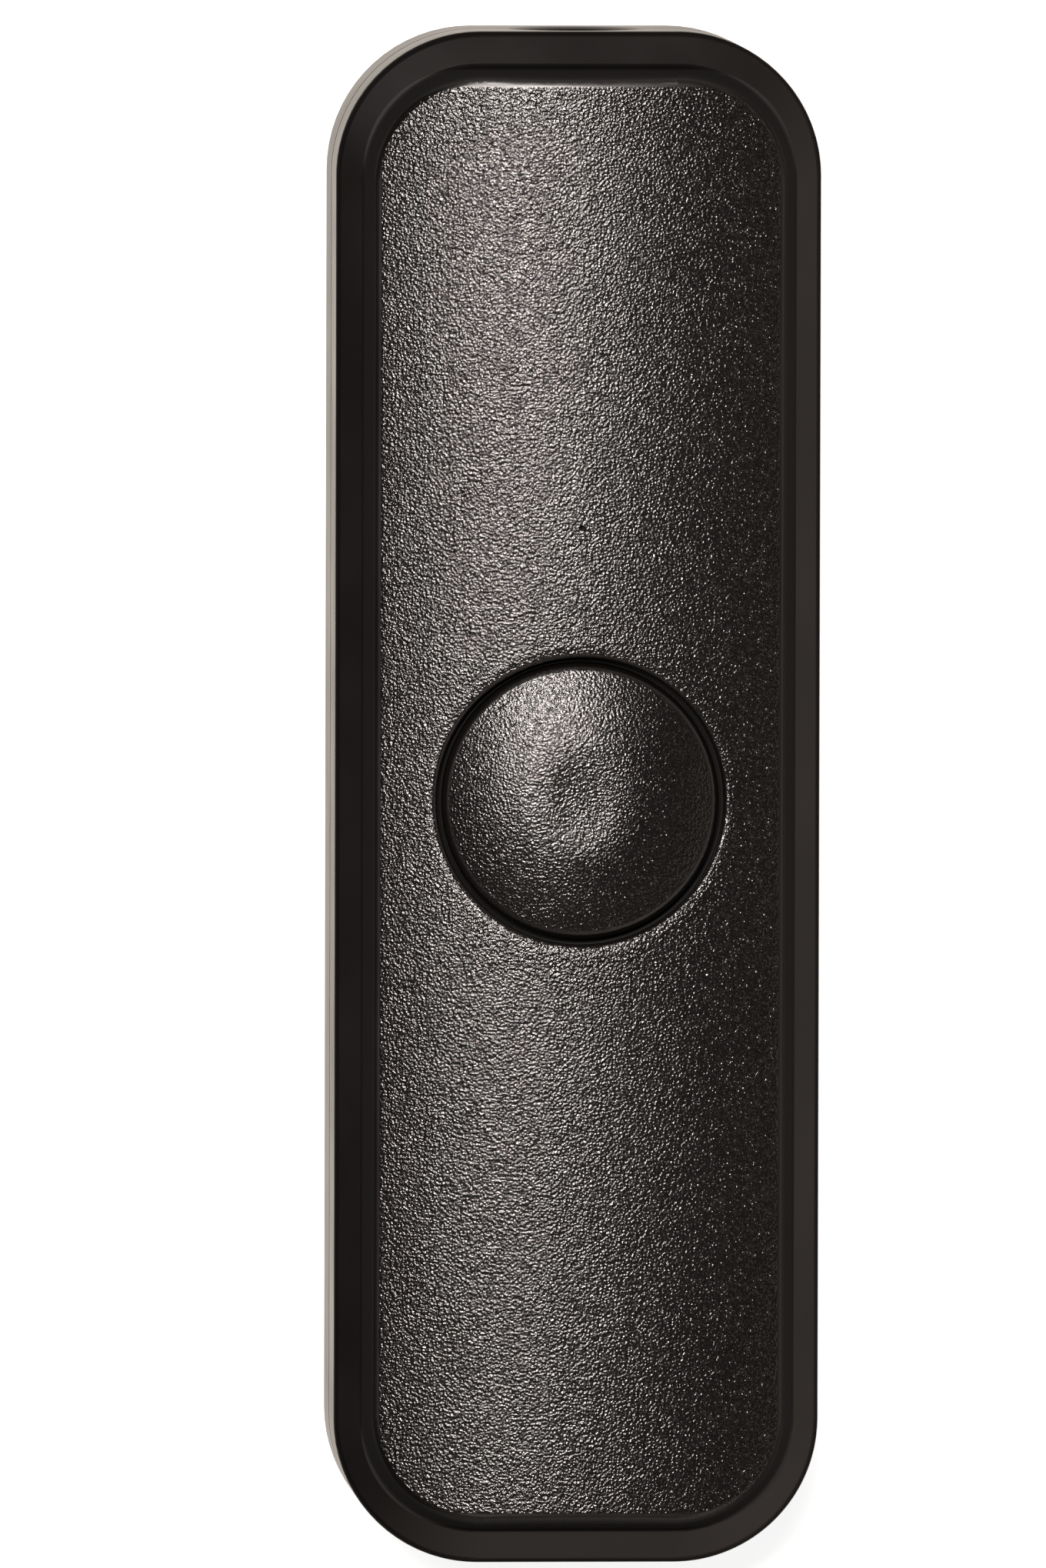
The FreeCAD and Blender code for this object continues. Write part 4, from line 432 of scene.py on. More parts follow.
@dataclass(frozen=True)
class CrownedCover(ErodedPlastic):
    """Cover of the casing: coarse grain on the crowned panel, satin on the border and walls."""

    # The crown, and how far below it the grain ends and the skins of the walls begin and go dull
    crown_radius_mm: float = 50.0
    crown_axis_mm: float = -31.743
    grain_below_mm: Pair = (0.08, 0.005)
    walls_below_mm: Pair = (0.03, 0.1)
    dull_below_mm: Pair = (0.3, 0.5)
    # The panel's outline, its smooth edge and how that edge falls
    panel_half_mm: Pair = (13.25, 47.08)
    panel_corner_mm: float = 5.7
    edge_smooth_mm: Pair = (0.05, 0.2)
    edge_roll_mm: Pair = (0.1, 0.3)
    edge_fall_mm: float = 0.02
    # The button's hole: its rim's radius, how far its walls reach beyond that and how the rim falls
    hole_mm: float = 9.6
    hole_reach_mm: Pair = (0.4, 0.3)
    hole_roll_mm: float = 0.65
    hole_fall_mm: float = 0.04
    # The indicator's pinhole
    pinhole_mm: float = 0.2
    pinhole_reach_mm: Pair = (0.08, 0.03)
    pinhole_distance_mm: float = 18.0
    # The steep step round the panel, as distances from the middle of the corner round
    step_mm: Pair = (5.75, 6.6)
    step_fade_mm: Pair = (0.1, 0.15)
    step_share: float = 0.5

    def height(self, tree: Tree, place: Socket) -> Socket:
        """Give the distance from the crown's axis, which is one radius on the whole crown.

        Args:
            tree: The material's node tree.
            place: The point on the surface, in metres.

        Returns:
            The distance, in metres.
        """
        from_axis = add_node(tree, "ShaderNodeVectorMath", {
            0: place, 1: (0.0, 0.0, self.crown_axis_mm * MM),
        }, operation="SUBTRACT")
        across = add_node(tree, "ShaderNodeVectorMath", {
            0: from_axis, 1: (1.0, 0.0, 1.0),
        }, operation="MULTIPLY")
        return add_node(tree, "ShaderNodeVectorMath", {0: across}, output="Value", operation="LENGTH")

    def to_edge(self, tree: Tree, place: Socket) -> Socket:
        """Give how far a point lies beyond the middle of the panel's nearest corner round.

        Args:
            tree: The material's node tree.
            place: The point on the surface, in metres.

        Returns:
            The distance, in metres, which is the corner's radius on the panel's edge line.
        """
        reach = add_node(tree, "ShaderNodeVectorMath", {0: place}, operation="ABSOLUTE")
        corner = tuple((half - self.panel_corner_mm) * MM for half in self.panel_half_mm)
        beyond = add_node(tree, "ShaderNodeVectorMath", {0: reach, 1: (*corner, 0.0)}, operation="SUBTRACT")
        beyond = add_node(tree, "ShaderNodeVectorMath", {0: beyond, 1: (0.0, 0.0, 0.0)}, operation="MAXIMUM")
        return self.from_middle(tree, beyond)

    def below(self, tree: Tree, place: Socket, depths_mm: Pair) -> Socket:
        """Give a share that goes softly from 0 to 1 between two depths below the crown.

        Args:
            tree: The material's node tree.
            place: The point on the surface, in metres.
            depths_mm: The depth where the share is 0, and the one where it is 1.

        Returns:
            The share.
        """
        start, end = (self.crown_radius_mm - depth for depth in depths_mm)
        return self.rise(tree, self.height(tree, place), start, end)

    def face(self, tree: Tree, place: Socket) -> Socket:
        """Give 1 on the crown and 0 below it and along its smooth edge.

        Args:
            tree: The material's node tree.
            place: The point on the surface, in metres.

        Returns:
            The share of the coarse grain, from 0 to 1.
        """
        top = self.below(tree, place, self.grain_below_mm)
        start, end = self.edge_smooth_mm
        inside = self.rise(
            tree, self.to_edge(tree, place), self.panel_corner_mm - start, self.panel_corner_mm - end,
        )
        return add_node(tree, "ShaderNodeMath", {0: top, 1: inside}, operation="MULTIPLY")

    def gap(self, tree: Tree, place: Socket) -> Socket:
        """Give 1 on the wall of the button's hole and in the pinhole, and less on the step.

        Args:
            tree: The material's node tree.
            place: The point on the surface, in metres.

        Returns:
            The share of the walls' own skin, from 0 to 1.
        """
        below = self.below(tree, place, self.walls_below_mm)
        far, near = self.hole_reach_mm
        inside = self.rise(tree, self.from_middle(tree, place), self.hole_mm + far, self.hole_mm + near)
        inside = add_node(tree, "ShaderNodeMath", {
            0: inside, 1: self.unpolished(tree, place),
        }, operation="MAXIMUM")
        return add_node(tree, "ShaderNodeMath", {0: inside, 1: below}, operation="MULTIPLY")

    def depth(self, tree: Tree, place: Socket) -> Socket:
        """Give 1 on the lower part of the hole's wall, on the step and in the pinhole.

        Args:
            tree: The material's node tree.
            place: The point on the surface, in metres.

        Returns:
            The share of the dull skin, from 0 to 1.
        """
        deep = self.below(tree, place, self.dull_below_mm)
        rough = add_node(tree, "ShaderNodeMath", {
            0: self.unpolished(tree, place), 1: 0.0,
        }, operation="GREATER_THAN")
        return add_node(tree, "ShaderNodeMath", {0: deep, 1: rough}, operation="MAXIMUM")

    def unpolished(self, tree: Tree, place: Socket) -> Socket:
        """Give the share of the dull skin where the mould couldn't be polished.

        Args:
            tree: The material's node tree.
            place: The point on the surface, in metres.

        Returns:
            1 in the pinhole, less on the steep step round the panel and 0 elsewhere.
        """
        from_pinhole = add_node(tree, "ShaderNodeVectorMath", {
            0: place, 1: (0.0, self.pinhole_distance_mm * MM, 0.0),
        }, operation="SUBTRACT")
        far, near = self.pinhole_reach_mm
        pinhole = self.rise(
            tree, self.from_middle(tree, from_pinhole), self.pinhole_mm + far, self.pinhole_mm + near,
        )
        start, end = self.step_mm
        fade_in, fade_out = self.step_fade_mm
        outside = self.rise(tree, self.to_edge(tree, place), start - fade_in, start)
        inside = self.rise(tree, self.to_edge(tree, place), end + fade_out, end)
        step = add_node(tree, "ShaderNodeMath", {0: outside, 1: inside}, operation="MULTIPLY")
        step = add_node(tree, "ShaderNodeMath", {0: step, 1: self.step_share}, operation="MULTIPLY")
        return add_node(tree, "ShaderNodeMath", {0: pinhole, 1: step}, operation="MAXIMUM")

    def rolled(self, tree: Tree, place: Socket, normal: Socket) -> Socket:
        """Give the normal of the crown, which falls a hair's breadth near its edge and its hole.

        Args:
            tree: The material's node tree.
            place: The point on the surface, in metres.
            normal: The normal of the satin skin.

        Returns:
            The normal, with the fall near the edges.
        """
        out, back = self.edge_roll_mm
        edge = self.rise(
            tree, self.to_edge(tree, place), self.panel_corner_mm + out, self.panel_corner_mm - back,
        )
        normal = add_node(tree, "ShaderNodeBump", {
            "Height": edge, "Distance": self.edge_fall_mm * MM, "Normal": normal,
        })
        hole = self.rise(tree, self.from_middle(tree, place), self.hole_mm, self.hole_mm + self.hole_roll_mm)
        return add_node(tree, "ShaderNodeBump", {
            "Height": hole, "Distance": self.hole_fall_mm * MM, "Normal": normal,
        })


@dataclass(frozen=True)
class ButtonFace(ErodedPlastic):
    """Push button: coarse grain on the crowned top, satin on the rim's round and the skirt."""

    grain_radius_mm: float = 8.5
    grain_fade_mm: float = 0.3
    skirt_radius_mm: Pair = (8.75, 8.92)
    skirt_top_mm: float = 16.5
    foot_fade_mm: float = 0.2

    def face(self, tree: Tree, place: Socket) -> Socket:
        """Give 1 on the crown, inside the round on the button's rim.

        Args:
            tree: The material's node tree.
            place: The point on the surface, in metres.

        Returns:
            The share of the coarse grain, from 0 to 1.
        """
        inside = self.rise(
            tree, self.from_middle(tree, place),
            self.grain_radius_mm + self.grain_fade_mm, self.grain_radius_mm,
        )
        height = add_node(tree, "ShaderNodeSeparateXYZ", {0: place}, output="Z")
        above = add_node(tree, "ShaderNodeMath", {
            0: height, 1: self.skirt_top_mm * MM,
        }, operation="GREATER_THAN")
        return add_node(tree, "ShaderNodeMath", {0: inside, 1: above}, operation="MULTIPLY")

    def gap(self, tree: Tree, place: Socket) -> Socket:
        """Give 1 on the skirt and the flange."""
        return self.rise(tree, self.from_middle(tree, place), *self.skirt_radius_mm)

    def depth(self, tree: Tree, place: Socket) -> Socket:
        """Give 1 on the foot of the skirt and the flange."""
        height = add_node(tree, "ShaderNodeSeparateXYZ", {0: place}, output="Z")
        return self.rise(tree, height, self.skirt_top_mm + self.foot_fade_mm, self.skirt_top_mm)


@dataclass(frozen=True)
class Metal(Finish):
    """Metal with drawn or turned streaks and a thin uneven plating or tarnish."""

    metallic: float = 1.0
    tarnish: str = "#8a8478"
    streak_mm: float = 0.15
    streak_depth_mm: float = 0.0008
    streak_stretch: Point = (1.0, 1.0, 0.08)
    streak_range: Pair = (0.25, 0.75)
    gloss_range: Pair = (0.75, 1.3)
    tarnish_mm: float = 1.6
    tarnish_share: float = 0.7

    def surface(self, tree: Tree, place: Socket) -> Inputs:
        """Give streaks along the way the metal was worked, and tarnish in blotches.

        Args:
            tree: The material's node tree.
            place: The point on the surface, in metres.

        Returns:
            Value or socket for each changed input.
        """
        worked = add_node(tree, "ShaderNodeMapping", {
            "Vector": place, "Scale": self.streak_stretch,
        })
        streaks = add_node(tree, "ShaderNodeTexNoise", {
            "Vector": worked, "Scale": per_metre(self.streak_mm), "Detail": 4.0,
        })
        gloss = add_node(tree, "ShaderNodeMapRange", {
            "Value": streaks, "From Min": self.streak_range[0], "From Max": self.streak_range[1],
            "To Min": self.gloss_range[0] * self.roughness, "To Max": self.gloss_range[1] * self.roughness,
        })
        share = self.blotches(tree, place, self.tarnish_mm, 0.0, self.tarnish_share)
        return {
            "Base Color": self.shade(tree, share, self.colour, self.tarnish),
            "Roughness": gloss,
            "Normal": self.bumped(tree, streaks, self.streak_depth_mm),
        }


@dataclass(frozen=True)
class GlassEpoxyBoard(Finish):
    """Woven glass-epoxy board under solder lacquer, with copper tracks showing through it."""

    track: str = "#2f6f4a"
    core: str = "#a89a5c"
    thread_mm: float = 0.5
    thread_wander: float = 0.6
    weave_depth_mm: float = 0.004
    track_pitch_mm: float = 2.4
    track_width_mm: float = 1.1
    track_length_mm: float = 7.0
    track_fade: float = 0.6
    lacquer_top_mm: float = 6.97
    lacquer_base_mm: float = 5.43
    gloss_mm: float = 3.0
    gloss_change: Pair = (-0.06, 0.08)

    def surface(self, tree: Tree, place: Socket) -> Inputs:
        """Give the weave, the tracks on both faces and the bare core on the sawn edges.

        Args:
            tree: The material's node tree.
            place: The point on the surface, in metres.

        Returns:
            Value or socket for each changed input.
        """
        warp, weft = (
            add_node(tree, "ShaderNodeTexWave", {
                "Vector": place, "Scale": per_metre(self.thread_mm) / WAVE_DIVISOR,
                "Distortion": self.thread_wander,
            }, bands_direction=direction)
            for direction in "XY"
        )
        weave = add_node(tree, "ShaderNodeMath", {0: warp, 1: weft}, operation="MAXIMUM")
        # Tracks are the cells of a coarse lattice, some of them fainter than others
        fade = self.track_fade
        lattice = add_node(tree, "ShaderNodeTexBrick", {
            "Vector": place, "Scale": 1.0,
            "Mortar Size": 0.5 * (self.track_pitch_mm - self.track_width_mm) * MM,
            "Brick Width": self.track_length_mm * MM, "Row Height": self.track_pitch_mm * MM,
            "Color1": (1.0, 1.0, 1.0, 1.0), "Color2": (fade, fade, fade, 1.0), "Mortar": (0.0, 0.0, 0.0, 1.0),
        }, output="Color")
        height = add_node(tree, "ShaderNodeSeparateXYZ", {0: place}, output="Z")
        from_middle = add_node(tree, "ShaderNodeMath", {
            0: height, 1: 0.5 * (self.lacquer_top_mm + self.lacquer_base_mm) * MM,
        }, operation="SUBTRACT")
        depth = add_node(tree, "ShaderNodeMath", {0: from_middle}, operation="ABSOLUTE")
        sawn = add_node(tree, "ShaderNodeMath", {
            0: depth, 1: 0.5 * (self.lacquer_top_mm - self.lacquer_base_mm) * MM,
        }, operation="LESS_THAN")
        lacquer = add_node(tree, "ShaderNodeMix", {
            0: lattice, 6: linear(self.colour), 7: linear(self.track),
        }, output=2, data_type="RGBA")
        colour = add_node(tree, "ShaderNodeMix", {
            0: sawn, 6: lacquer, 7: linear(self.core),
        }, output=2, data_type="RGBA")
        return {
            "Base Color": colour,
            "Roughness": self.blotches(
                tree, place, self.gloss_mm,
                *(self.roughness + change for change in self.gloss_change),
            ),
            "Normal": self.bumped(tree, weave, self.weave_depth_mm),
        }


@dataclass(frozen=True)
class Speckled(Finish):
    """Fired, sintered or filled material that is made of visible grains."""

    speck: str = "#5a5a58"
    grain_mm: float = 0.15
    cloud_ratio: float = 4.0
    relief_mm: float = 0.004
    gloss_mm: float = 1.2
    gloss_change: float = 0.07

    def surface(self, tree: Tree, place: Socket) -> Inputs:
        """Give grains of two colours with a slight relief.

        Args:
            tree: The material's node tree.
            place: The point on the surface, in metres.

        Returns:
            Value or socket for each changed input.
        """
        grains = add_node(tree, "ShaderNodeTexVoronoi", {
            "Vector": place, "Scale": per_metre(self.grain_mm),
        }, output="Distance")
        cloud = self.blotches(tree, place, self.cloud_ratio * self.grain_mm, 0.0, 1.0)
        share = add_node(tree, "ShaderNodeMath", {0: grains, 1: cloud}, operation="MULTIPLY")
        return {
            "Base Color": self.shade(tree, share, self.colour, self.speck),
            "Roughness": self.blotches(
                tree, place, self.gloss_mm,
                self.roughness - self.gloss_change, self.roughness + self.gloss_change,
            ),
            "Normal": self.bumped(tree, grains, self.relief_mm),
        }


@dataclass(frozen=True)
class MetalEnds(Speckled):
    """Filled or fired body whose leads or end caps are bare tinned metal."""

    metal: str = "#c9c6bf"
    metal_roughness: float = 0.28
    middle: Point = (0.0, 0.0, 0.0)
    half_body: Point = (1.0, 1.0, 1.0)

    def surface(self, tree: Tree, place: Socket) -> Inputs:
        """Give the body inside its half sizes, and metal beyond them.

        Args:
            tree: The material's node tree.
            place: The point on the surface, in metres.

        Returns:
            Value or socket for each changed input.
        """
        inputs = super().surface(tree, place)
        from_middle = add_node(tree, "ShaderNodeVectorMath", {0: place, 1: self.middle}, operation="SUBTRACT")
        reach = add_node(tree, "ShaderNodeVectorMath", {0: from_middle}, operation="ABSOLUTE")
        share = add_node(tree, "ShaderNodeVectorMath", {0: reach, 1: self.half_body}, operation="DIVIDE")
        parts = [add_node(tree, "ShaderNodeSeparateXYZ", {0: share}, output=axis) for axis in "XYZ"]
        widest = add_node(tree, "ShaderNodeMath", {0: parts[0], 1: parts[1]}, operation="MAXIMUM")
        widest = add_node(tree, "ShaderNodeMath", {0: widest, 1: parts[2]}, operation="MAXIMUM")
        bare = add_node(tree, "ShaderNodeMath", {0: widest, 1: 1.0}, operation="GREATER_THAN")
        return {
            "Base Color": add_node(tree, "ShaderNodeMix", {
                0: bare, 6: inputs["Base Color"], 7: linear(self.metal),
            }, output=2, data_type="RGBA"),
            "Roughness": add_node(tree, "ShaderNodeMix", {
                0: bare, 2: inputs["Roughness"], 3: self.metal_roughness,
            }),
            "Metallic": bare,
            "Normal": inputs["Normal"],
        }


@dataclass(frozen=True)
class ClearPlastic(Finish):
    """Clear or milky cast plastic that passes light, with fine handling marks."""

    clearness: float = 1.0
    mark_mm: float = 0.6
    mark_change: float = 0.12

    def surface(self, tree: Tree, place: Socket) -> Inputs:
        """Give clear plastic whose gloss is broken by fine marks.

        Args:
            tree: The material's node tree.
            place: The point on the surface, in metres.

        Returns:
            Value or socket for each changed input.
        """
        marks = self.blotches(
            tree, place, self.mark_mm, self.roughness, self.roughness + self.mark_change, detail=5.0,
        )
        return {
            "Transmission Weight": self.clearness,
            "Roughness": marks,
            "Base Color": self.shade(tree, marks, self.colour, "#ffffff"),
        }


@dataclass(frozen=True)
class TablePaper(Finish):
    """Matt white backing paper that reads as white to the camera and keeps a soft shadow.

    The camera and mirrored rays see a glow of their own, so that no lamp has to be stronger for it: in
    reflections this glow is painted light, a painted pool of light close to the part.
    """

    # The camera's even white glow, then the painted reflection glow with its colour, and the painted pool of
    # light round the part where it shows
    seen_glow: float = 0.87
    painted_reflection_glow: float = 1.2
    painted_reflection_colour: str = "#fff4e8"
    painted_pool_half: Point = (0.016, 0.0505, 0.0)
    painted_pool_margin: Pair = (0.004, 0.013)
    painted_pool_far_share: float = 0.03
    fibre_mm: float = 1.5
    fibre_depth_mm: float = 0.01

    def surface(self, tree: Tree, place: Socket) -> Inputs:
        """Give paper that glows white for the camera and, as painted light, a little warmer in reflections
        near the part.

        Args:
            tree: The material's node tree.
            place: The point on the surface, in metres.

        Returns:
            Value or socket for each changed input.
        """
        camera, reflected = ray_kinds(tree)
        # Painted pool of light: the sheet is bright in reflections close to the part only, and dark further
        # off
        reach = add_node(tree, "ShaderNodeVectorMath", {0: place}, operation="ABSOLUTE")
        beyond = add_node(tree, "ShaderNodeVectorMath", {0: reach, 1: self.painted_pool_half}, operation="SUBTRACT")
        beyond = add_node(tree, "ShaderNodeVectorMath", {0: beyond, 1: (0.0, 0.0, 0.0)}, operation="MAXIMUM")
        distance = add_node(tree, "ShaderNodeVectorMath", {0: beyond}, output="Value", operation="LENGTH")
        near = add_node(tree, "ShaderNodeMapRange", {
            "Value": distance, "From Min": self.painted_pool_margin[0], "From Max": self.painted_pool_margin[1],
            "To Min": 1.0, "To Max": self.painted_pool_far_share,
        })
        mirrored = add_node(tree, "ShaderNodeMath", {0: reflected, 1: near}, operation="MULTIPLY")
        glow = add_node(tree, "ShaderNodeMath", {0: camera, 1: self.seen_glow}, operation="MULTIPLY")
        glow = add_node(tree, "ShaderNodeMath", {
            0: mirrored, 1: self.painted_reflection_glow, 2: glow,
        }, operation="MULTIPLY_ADD")
        fibres = add_node(tree, "ShaderNodeTexNoise", {
            "Vector": place, "Scale": per_metre(self.fibre_mm), "Detail": 4.0,
        })
        # From below the sheet is clear, so that the part's underside can be seen
        below = add_node(tree, "ShaderNodeNewGeometry", output="Backfacing")
        shown = add_node(tree, "ShaderNodeMath", {0: 1.0, 1: below}, operation="SUBTRACT")
        return {
            "Alpha": shown,
            "Base Color": self.shade(tree, reflected, self.colour, "#000000"),
            "Emission Color": self.shade(tree, camera, self.painted_reflection_colour, "#ffffff"),
            "Emission Strength": glow,
            "Normal": self.bumped(tree, fibres, self.fibre_depth_mm),
        }


# Black ABS from a satin mould: near-black, with a soft sheen that shows its shape. The panel of the
# cover comes from a spark-eroded part of the mould, whose pits break highlights into small glints.
COVER_ABS = CrownedCover(
    name="abs_black_moulded_eroded_panel", colour="#0f0d0c", pale="#12100f", roughness=0.33, ior=1.54,
)
# Satin black ABS without such grain: an even sheen on the tray.
TRAY_ABS = MouldedPlastic(
    name="abs_black_moulded_satin", colour="#100e0d", pale="#131110", roughness=0.35, ior=1.54,
)
# Black ABS with the panel's grain on the button's crown, a little finer and shallower, so its
# highlight is calmer.
BUTTON_ABS = ButtonFace(
    name="abs_black_moulded_button", colour="#0f0d0c", pale="#12100f", roughness=0.33, ior=1.54,
    pit_mm=0.16, pit_depth_mm=0.062,
)
# Zinc-plated steel, cold-headed: bright and slightly blue, with faint yellow passivation.
SCREW_STEEL = Metal(
    name="steel_zinc_plated_headed", colour="#b9bcbf", tarnish="#a39a7c", roughness=0.3,
    streak_stretch=(1.0, 1.0, 1.0),
)
# Glass-filled black polyamide: duller than ABS, with pale fibre marks.
CLAMP_POLYAMIDE = Speckled(
    name="polyamide_black_glass_filled", colour="#1d1d1e", speck="#3a3a3a", roughness=0.52, ior=1.53,
    grain_mm=0.2,
)
# Pale grey polyamide of the terminal blocks: waxy, slightly translucent look.
TERMINAL_POLYAMIDE = MouldedPlastic(
    name="polyamide_grey_moulded", colour="#9aa0a3", pale="#a9aeb0", roughness=0.42, ior=1.53,
)
# Black PBT of the push switch, and white PBT of its plunger: fine, even, low sheen.
HOUSING_PBT = MouldedPlastic(
    name="pbt_black_moulded", colour="#202123", pale="#292a2c", roughness=0.45, ior=1.55,
)
PLUNGER_PBT = MouldedPlastic(
    name="pbt_white_moulded", colour="#d9d7d0", pale="#e4e2dc", roughness=0.42, ior=1.55,
)
# Rolled stainless spring sheet: long fine streaks along the rolling direction.
SPRING_SHEET = Metal(
    name="stainless_spring_sheet_rolled", colour="#c2c0bc", tarnish="#aaa69f", roughness=0.24,
    streak_stretch=(1.0, 0.06, 1.0),
)
# Tinned steel legs: whitish, soft gloss, slightly cloudy from the bath.
TINNED_SHEET = Metal(
    name="steel_tinned_dipped", colour="#cfcdc6", tarnish="#b4b0a6", roughness=0.32,
    streak_stretch=(0.2, 1.0, 1.0),
)
# Bent brass sheet of the clamp cages: warm yellow with brownish handling marks.
CAGE_BRASS = Metal(
    name="brass_sheet_bent", colour="#d3b15f", tarnish="#9a7a3c", roughness=0.27,
    streak_stretch=(1.0, 0.08, 1.0),
)
# Dark green lacquered glass-epoxy board.
BOARD = GlassEpoxyBoard(name="glass_epoxy_board_lacquered", colour="#1f5136", roughness=0.32, ior=1.5)
# Milky epoxy of the indicator light.
LENS_EPOXY = ClearPlastic(
    name="epoxy_milky_cast", colour="#eef1ea", roughness=0.35, ior=1.5, clearness=0.55,
)
# Smoked acrylic rod of the light guide, frosted at its ends: dark in the pinhole while unlit.
GUIDE_ACRYLIC = MouldedPlastic(
    name="acrylic_smoked_frosted", colour="#0a0a0a", pale="#0d0c0c", roughness=0.85, ior=1.49,
)
# Sintered ferrite: charcoal grey, dry, with fine crystal specks.
FERRITE = Speckled(
    name="ferrite_sintered", colour="#3a3838", speck="#57534f", roughness=0.62, ior=2.2, grain_mm=0.12,
)
# Copper wire in clear enamel: warm red-brown with a wet gloss.
WIRE_COPPER = Metal(
    name="copper_wire_enamelled", colour="#b8602e", tarnish="#8c3f1c", roughness=0.22,
    streak_stretch=(1.0, 1.0, 0.3),
)
# Dipped epoxy of the varistor: thick glossy blue coat with soft orange peel.
VARISTOR_EPOXY = MouldedPlastic(
    name="epoxy_blue_dipped", colour="#1f4f8f", pale="#2a5d9f", roughness=0.26, ior=1.55,
    grain_mm=0.5, grain_depth_mm=0.006, flow_mm=3.0,
)
# Yellow polyester case of the film capacitor, moulded and filled from below.
FILM_CASE = MouldedPlastic(
    name="polyester_yellow_moulded", colour="#c69a2a", pale="#d0a63a", roughness=0.38, ior=1.55,
)
# Lead-free tin solder: bright, frozen liquid shape, a little frosted.
SOLDER = Metal(
    name="tin_solder_cast", colour="#c8c9c8", tarnish="#b0afa9", roughness=0.3,
    streak_mm=0.4, streak_stretch=(1.0, 1.0, 1.0),
)
# Uncoated white paper: dull, with a faint uneven fibre relief.
PAPER = TablePaper(name="paper_white_matt", colour="#b9b8b5", roughness=0.9)


def dress(node: str, finish: Finish) -> None:
    """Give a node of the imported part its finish.

    Args:
        node: The node's name.
        finish: The finish for all of its surface.
    """
    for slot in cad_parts[node].material_slots:
        slot.material = finish.material()
    LOG.info("%s: %s", node, finish.name)


def piece(
    name: str, build: Callable[[bmesh.types.BMesh], None], finish: Finish
) -> bpy.types.Object:
    """Make a piece from mesh code and let it ride on the casing.

    Args:
        name: The piece's name.
        build: Fills the mesh, in metres in the part's frame.
        finish: The piece's finish.

    Returns:
        The piece.
    """
    mesh = bpy.data.meshes.new(name)
    shape = bmesh.new()
    build(shape)
    bmesh.ops.recalc_face_normals(shape, faces=shape.faces)
    for side in shape.faces:
        side.smooth = True
    shape.to_mesh(mesh)
    shape.free()
    mesh.materials.append(finish.material())
    made = bpy.data.objects.new(name, mesh)
    bpy.context.scene.collection.objects.link(made)
    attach(made, "casing")
    LOG.info("%s: %d faces, %s", name, len(mesh.polygons), finish.name)
    return made


def lathe(
    shape: bmesh.types.BMesh, outline: Sequence[Pair], x: float, y: float, sides: int
) -> None:
    """Turn an outline about an upright axis and add it to a mesh.

    Args:
        shape: The mesh.
        outline: Radius and height of each point, in metres.
        x: The axis across.
        y: The axis along.
        sides: Steps round the axis.
    """
    rings = []
    for radius, height in outline:
        if radius <= 0:
            rings.append([shape.verts.new((x, y, height))])
            continue
        turns = [2 * math.pi * k / sides for k in range(sides)]
        rings.append([
            shape.verts.new((x + radius * math.cos(t), y + radius * math.sin(t), height)) for t in turns
        ])
    for low, high in zip(rings, rings[1:]):
        for k in range(sides):
            n = k + 1
            corners = [low[k % len(low)], low[n % len(low)], high[n % len(high)], high[k % len(high)]]
            # A ring of one point gives the same corner twice
            shape.faces.new(list(dict.fromkeys(corners)))


@dataclass
class Casing:
    """Cover and tray with the four screws that join them."""

    def build(self) -> None:
        """Dress the shells and their screws."""
        dress("upper_shell", COVER_ABS)
        dress("lower_shell", TRAY_ABS)
        dress("case_screws", SCREW_STEEL)


@dataclass
class PushButton:
    """Crowned button on its own body."""

    def build(self) -> None:
        """Dress the button."""
        dress("button_cap", BUTTON_ABS)


@dataclass
class PushSwitch:
    """Push switch on the board, with its sprung contact dome and the staked pegs that hold its cover."""

    dome_radius: float = 3.0 * MM
    dome_height: float = 0.9 * MM
    dome_thickness: float = 0.2 * MM
    dome_base: float = 8.0 * MM
    dome_keep: float = 0.65
    dome_steps: int = 14
    dome_sides: int = 48
    peg_radius: float = 0.45 * MM
    peg_height: float = 0.22 * MM
    peg_outline: tuple[Pair, ...] = ((0.0, 1.0), (0.6, 0.9), (1.0, 0.35), (1.0, 0.0), (0.0, 0.0))
    peg_spread: float = 5.1 * MM
    peg_sides: int = 16
    cover_top: float = 10.7 * MM

    def build(self) -> None:
        """Dress the switch and add its pegs and its dome."""
        dress("switch_housing", HOUSING_PBT)
        dress("switch_legs", TINNED_SHEET)
        dress("switch_plunger", PLUNGER_PBT)
        dress("switch_cover", SPRING_SHEET)
        piece("switch_pegs", self.pegs, HOUSING_PBT)
        # The real dome gives way under the plunger by a third of its height; this piece keeps its resting
        # shape
        dome = piece("contact_dome", self.dome, SPRING_SHEET)
        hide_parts("switch_dome")
        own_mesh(dome)

    def arc(self, radius: float, height: float) -> list[Pair]:
        """Give the points of a round arc from its crown down to its rim.

        Args:
            radius: Radius of the rim, in metres.
            height: Height of the crown above the rim, in metres.

        Returns:
            Radius and height of each point, in metres.
        """
        bend = (radius ** 2 + height ** 2) / (2 * height)
        reach = [radius * step / self.dome_steps for step in range(self.dome_steps + 1)]
        return [(r, self.dome_base + height - bend + math.sqrt(bend ** 2 - r ** 2)) for r in reach]

    def dome(self, shape: bmesh.types.BMesh) -> None:
        """Add the contact dome, a shallow shell of sheet that stands on its rim.

        Args:
            shape: The mesh that gets it.
        """
        top = self.arc(self.dome_radius, self.dome_height)
        hollow = self.arc(self.dome_radius - 2 * self.dome_thickness, self.dome_height - self.dome_thickness)
        lathe(shape, top + hollow[::-1], 0.0, 0.0, self.dome_sides)

    def pegs(self, shape: bmesh.types.BMesh) -> None:
        """Add the four melted peg heads on the cover's corners.

        Args:
            shape: The mesh that gets them.
        """
        outline = [
            (across * self.peg_radius, self.cover_top + up * self.peg_height)
            for across, up in self.peg_outline
        ]
        for x in (-self.peg_spread, self.peg_spread):
            for y in (-self.peg_spread, self.peg_spread):
                lathe(shape, outline, x, y, self.peg_sides)


